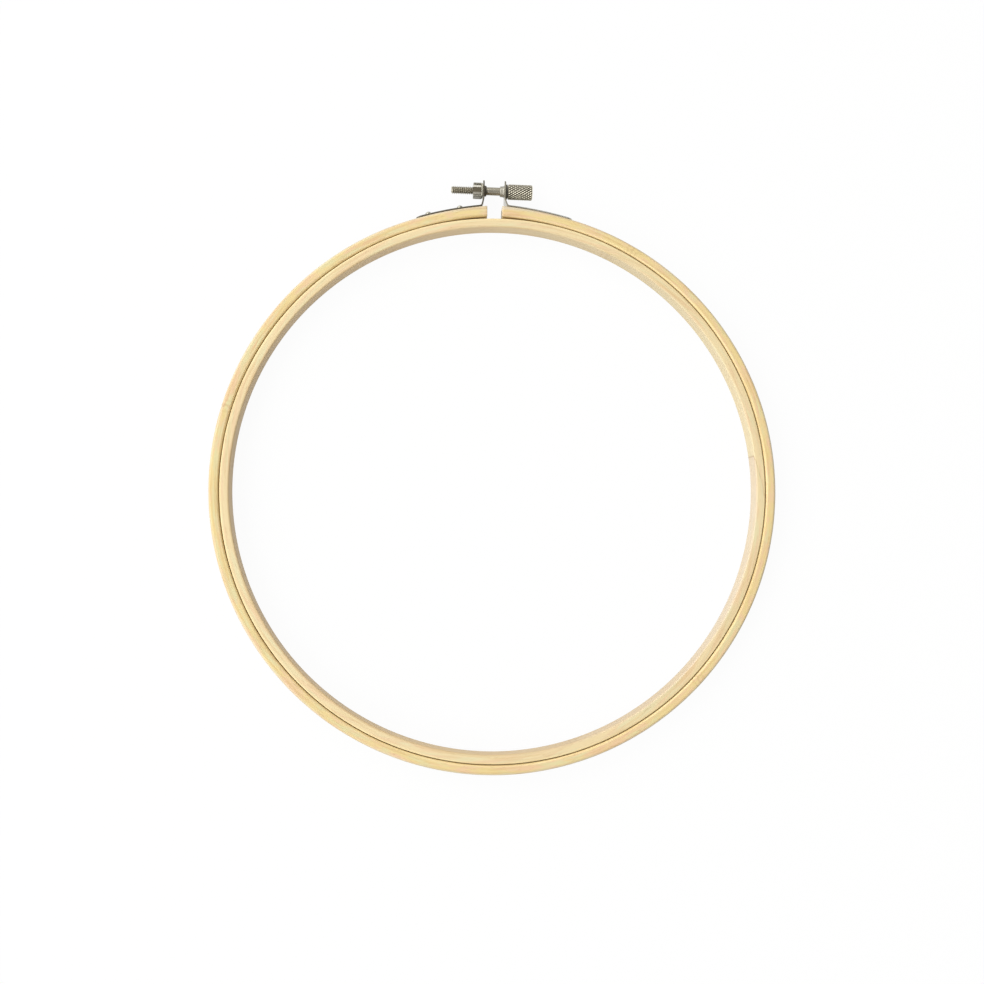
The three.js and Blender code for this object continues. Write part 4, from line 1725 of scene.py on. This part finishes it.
@dataclass(frozen=True)
class Lamp:
    """A soft box over the hoop."""

    name: str  # the lamp's name
    bearing: float  # where it stands, in degrees anticlockwise from +X seen from above
    power: float  # its power in watts
    elevation: float = 39  # how high it stands, in degrees
    distance: float = 2.4  # how far it is from the hoop, in metres
    side: float = 1.9  # length of its sides, in metres

    def build(self, target: Vector) -> None:
        """Hangs the lamp and turns it to the hoop.

        Args:
            target: The point that it faces.
        """
        light = bpy.data.lights.new(self.name, "AREA")
        light.shape = "SQUARE"
        light.size = self.side
        light.energy = self.power
        lamp = bpy.data.objects.new(self.name, light)
        bearing, elevation = math.radians(self.bearing), math.radians(self.elevation)
        level = Vector((math.cos(bearing), math.sin(bearing), 0))
        direction = level * math.cos(elevation) + UP * math.sin(elevation)
        lamp.location = target + direction * self.distance
        lamp.rotation_euler = direction.to_track_quat("Z", "Y").to_euler()
        bpy.context.scene.collection.objects.link(lamp)


@dataclass
class Studio:
    """The camera, the lamps, a pale floor and the white room round it."""

    layout: Layout  # where the hoops and the clamp are
    # The camera's place from the middle of the hoops, in millimetres.
    eye: tuple[float, float, float] = (-25.0, -24.0, 500.0)
    # The point of the hoops' top plane in the middle of the picture, in millimetres.
    aim: tuple[float, float] = (-1.08, -1.18)
    focal: float = 1.3451  # focal length as a multiple of the picture's side
    sensor: float = 36  # width of the camera's sensor, in millimetres
    shade_tilt: float = 22.0  # how far the grey patch overhead leans towards -Y, in degrees
    floor_half: float = 30  # half the floor's width, in metres
    floor_drop: float = 0.02  # how far the floor lies under the hoops, in millimetres
    floor_glow: float = 0.95  # share of the floor that is plain white to the camera and to mirrors
    paper: str = "dbdbda"  # the floor's colour
    wall_glow: ClassVar[Ramp] = (-0.7, 0.7, 1.17, 0.75)  # brightness of the walls, from left to right
    patch_glow: ClassVar[Ramp] = (0.48, 0.86, 1.0, 0.4)  # the same, towards the middle of the grey patch
    wall_start: ClassVar[Ramp] = (0.1, 0.2, 0.0, 1.0)  # where both start to count, over the floor
    nearest: float = 0.01  # how near the camera still sees, in metres
    lamps: tuple[Lamp, ...] = (
        Lamp("upper_softbox", bearing=135, power=40.0),
        Lamp("lower_softbox", bearing=215, power=43.0),
    )

    def camera(self) -> None:
        """Sets up the camera over the hoop."""
        data = bpy.data.cameras.new("camera")
        data.sensor_width = self.sensor
        data.lens = self.sensor * self.focal
        data.clip_start = self.nearest
        made = bpy.data.objects.new("camera", data)
        bpy.context.scene.collection.objects.link(made)
        eye = self.layout.in_hoop(*self.eye)
        back = (eye - self.layout.in_hoop(*self.aim, self.layout.height)).normalized()
        right = Vector((0, 1, 0)).cross(back).normalized()
        axes = Matrix((right, back.cross(right), back)).transposed()
        made.matrix_world = Matrix.Translation(eye) @ axes.to_4x4()
        bpy.context.scene.camera = made

    def floor(self) -> None:
        """Lays the floor, white to the camera and to mirrors, with the hoop's soft shadow on it."""
        half = self.floor_half
        mesh = bpy.data.meshes.new("floor")
        corners = [(-half, -half, 0), (half, -half, 0), (half, half, 0), (-half, half, 0)]
        mesh.from_pydata(corners, [], [(0, 1, 2, 3)])
        made = object_of(mesh, "floor")
        made.location.z = -self.floor_drop * MM
        material = bare_material("white_paper")
        node = partial(add_node, material.node_tree)
        path = node("ShaderNodeLightPath").outputs
        seen = node(MATH, [path["Is Camera Ray"], path["Is Glossy Ray"]], operation="MAXIMUM")
        through = node(MATH, [seen, path["Is Transmission Ray"]], operation="MAXIMUM")
        share = node(MATH, [through, self.floor_glow], operation="MULTIPLY")
        paper = node("ShaderNodeBsdfDiffuse", {"Color": linear(self.paper)})
        white = node("ShaderNodeEmission", {"Color": WHITE, "Strength": 1.0})
        surface = node("ShaderNodeMixShader", [share, paper, white])
        node("ShaderNodeOutputMaterial", {"Surface": surface})
        mesh.materials.append(material)

    def room(self) -> None:
        """Sets the world: pale walls, brighter on the left, and a grey patch overhead round the camera."""
        world = bpy.data.worlds.new("room")
        bpy.context.scene.world = world
        world.use_nodes = True
        world.node_tree.nodes.clear()
        node = partial(add_node, world.node_tree)
        tilt = math.radians(self.shade_tilt)
        spot = node("ShaderNodeTexCoord").outputs["Generated"]
        direction = node(SPLIT, [spot]).outputs
        sides = node(RANGE, [direction["X"], *self.wall_glow], **SMOOTH)
        toward = node(VECTOR, [spot, (0, -math.sin(tilt), math.cos(tilt))], operation="DOT_PRODUCT")
        overhead = node(RANGE, [toward.outputs["Value"], *self.patch_glow], **SMOOTH)
        upper = node(MATH, [sides, overhead], operation="MULTIPLY")
        height = node(RANGE, [direction["Z"], *self.wall_start], **SMOOTH)
        strength = node(MIX, [height, 1.0, upper], data_type="FLOAT")
        light = node("ShaderNodeBackground", {"Color": WHITE, "Strength": strength})
        node("ShaderNodeOutputWorld", {"Surface": light})

    def build(self) -> None:
        """Sets up the whole studio."""
        self.camera()
        for lamp in self.lamps:
            lamp.build(self.layout.in_hoop(0, 0, self.layout.height))
        self.floor()
        self.room()
        bpy.context.scene.view_settings.view_transform = "Standard"


def main() -> None:
    """Builds the studio, the hoops and the clamp."""
    logging.basicConfig(level=logging.INFO, format="%(name)s: %(message)s")
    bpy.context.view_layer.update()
    layout = Layout.of_frame()
    Studio(layout).build()

    # Planed from the outer part of the culm: straw yellow and even, with the skin's grey on its outside.
    # Its inside face is painted pale: painted light in the groove between the hoops.
    outer = Bamboo(
        "bamboo_planed_strip_outer", ground="ceb982", pink="cfaf8b", green="c6bd8f", outside_colour="c1b49b",
        pith="dec894", lit_pith_start="dec894", lit_pith_end="dec894", streak="bc9c66", vessel="86653a",
        inside=101.95, outside=layout.outside, join=90, scarf=0, sawn=2.8, nodes=(163, 317, 60), seed=3.1,
    )
    # Planed from nearer the pith: paler and pinker, and brown on its inside.
    inner = Bamboo(
        # Its inside face is painted paler towards the join: painted light on the hoop's right half, where
        # light falls.
        # Its outside face is painted pale: painted light in the groove between the hoops.
        "bamboo_planed_strip_inner", ground="d0bd93", pink="cfb48e", green="cac098", outside_colour="dcc796",
        pith="bea47a", lit_pith_start="c1b594", lit_pith_end="beb09c", streak="c0a678", vessel="86653a",
        inside=98.0, outside=101.6, join=3, scarf=18, sawn=0, nodes=(170, 60, 282), seed=8.7,
    )
    for piece in (
        Hoop(layout, outer, "outer_hoop", "outer_bamboo", inner_round=0.8, outer_round=1.0, gap=5.6),
        Hoop(
            layout, inner, "inner_hoop", "inner_bamboo", inner_round=0.6, outer_round=0.4,
            thinning=0.3, thin_side=35,
        ),
        # Sheared edges and collars are painted dark: duller bare steel and painted shade, strongest on the
        # nut's side, away from the light. The screw bracket is painted brighter, and its edge fades to plain
        # plating along the tail: painted light.
        Bracket(
            layout, STAMPED, "nut_bracket", Side.NUT,
            collar=0.8, sheared=0.95, tail_dull=0.8, pierced=0.9,
        ),
        Bracket(
            layout, STAMPED_PAINTED_BRIGHT, "screw_bracket", Side.SCREW,
            collar=1.6, sheared=1.0, tail_dull=0.0, pierced=0.7,
        ),
        Brads(layout, STAMPED),
        NutCage(layout, STAMPED),
        SquareNut(layout, PRESSED),
        Washer(layout, STEEL_PAINTED_DARK),
        ClampScrew(layout, TURNED),
    ):
        piece.build()


if __name__ == "__main__":
    main()
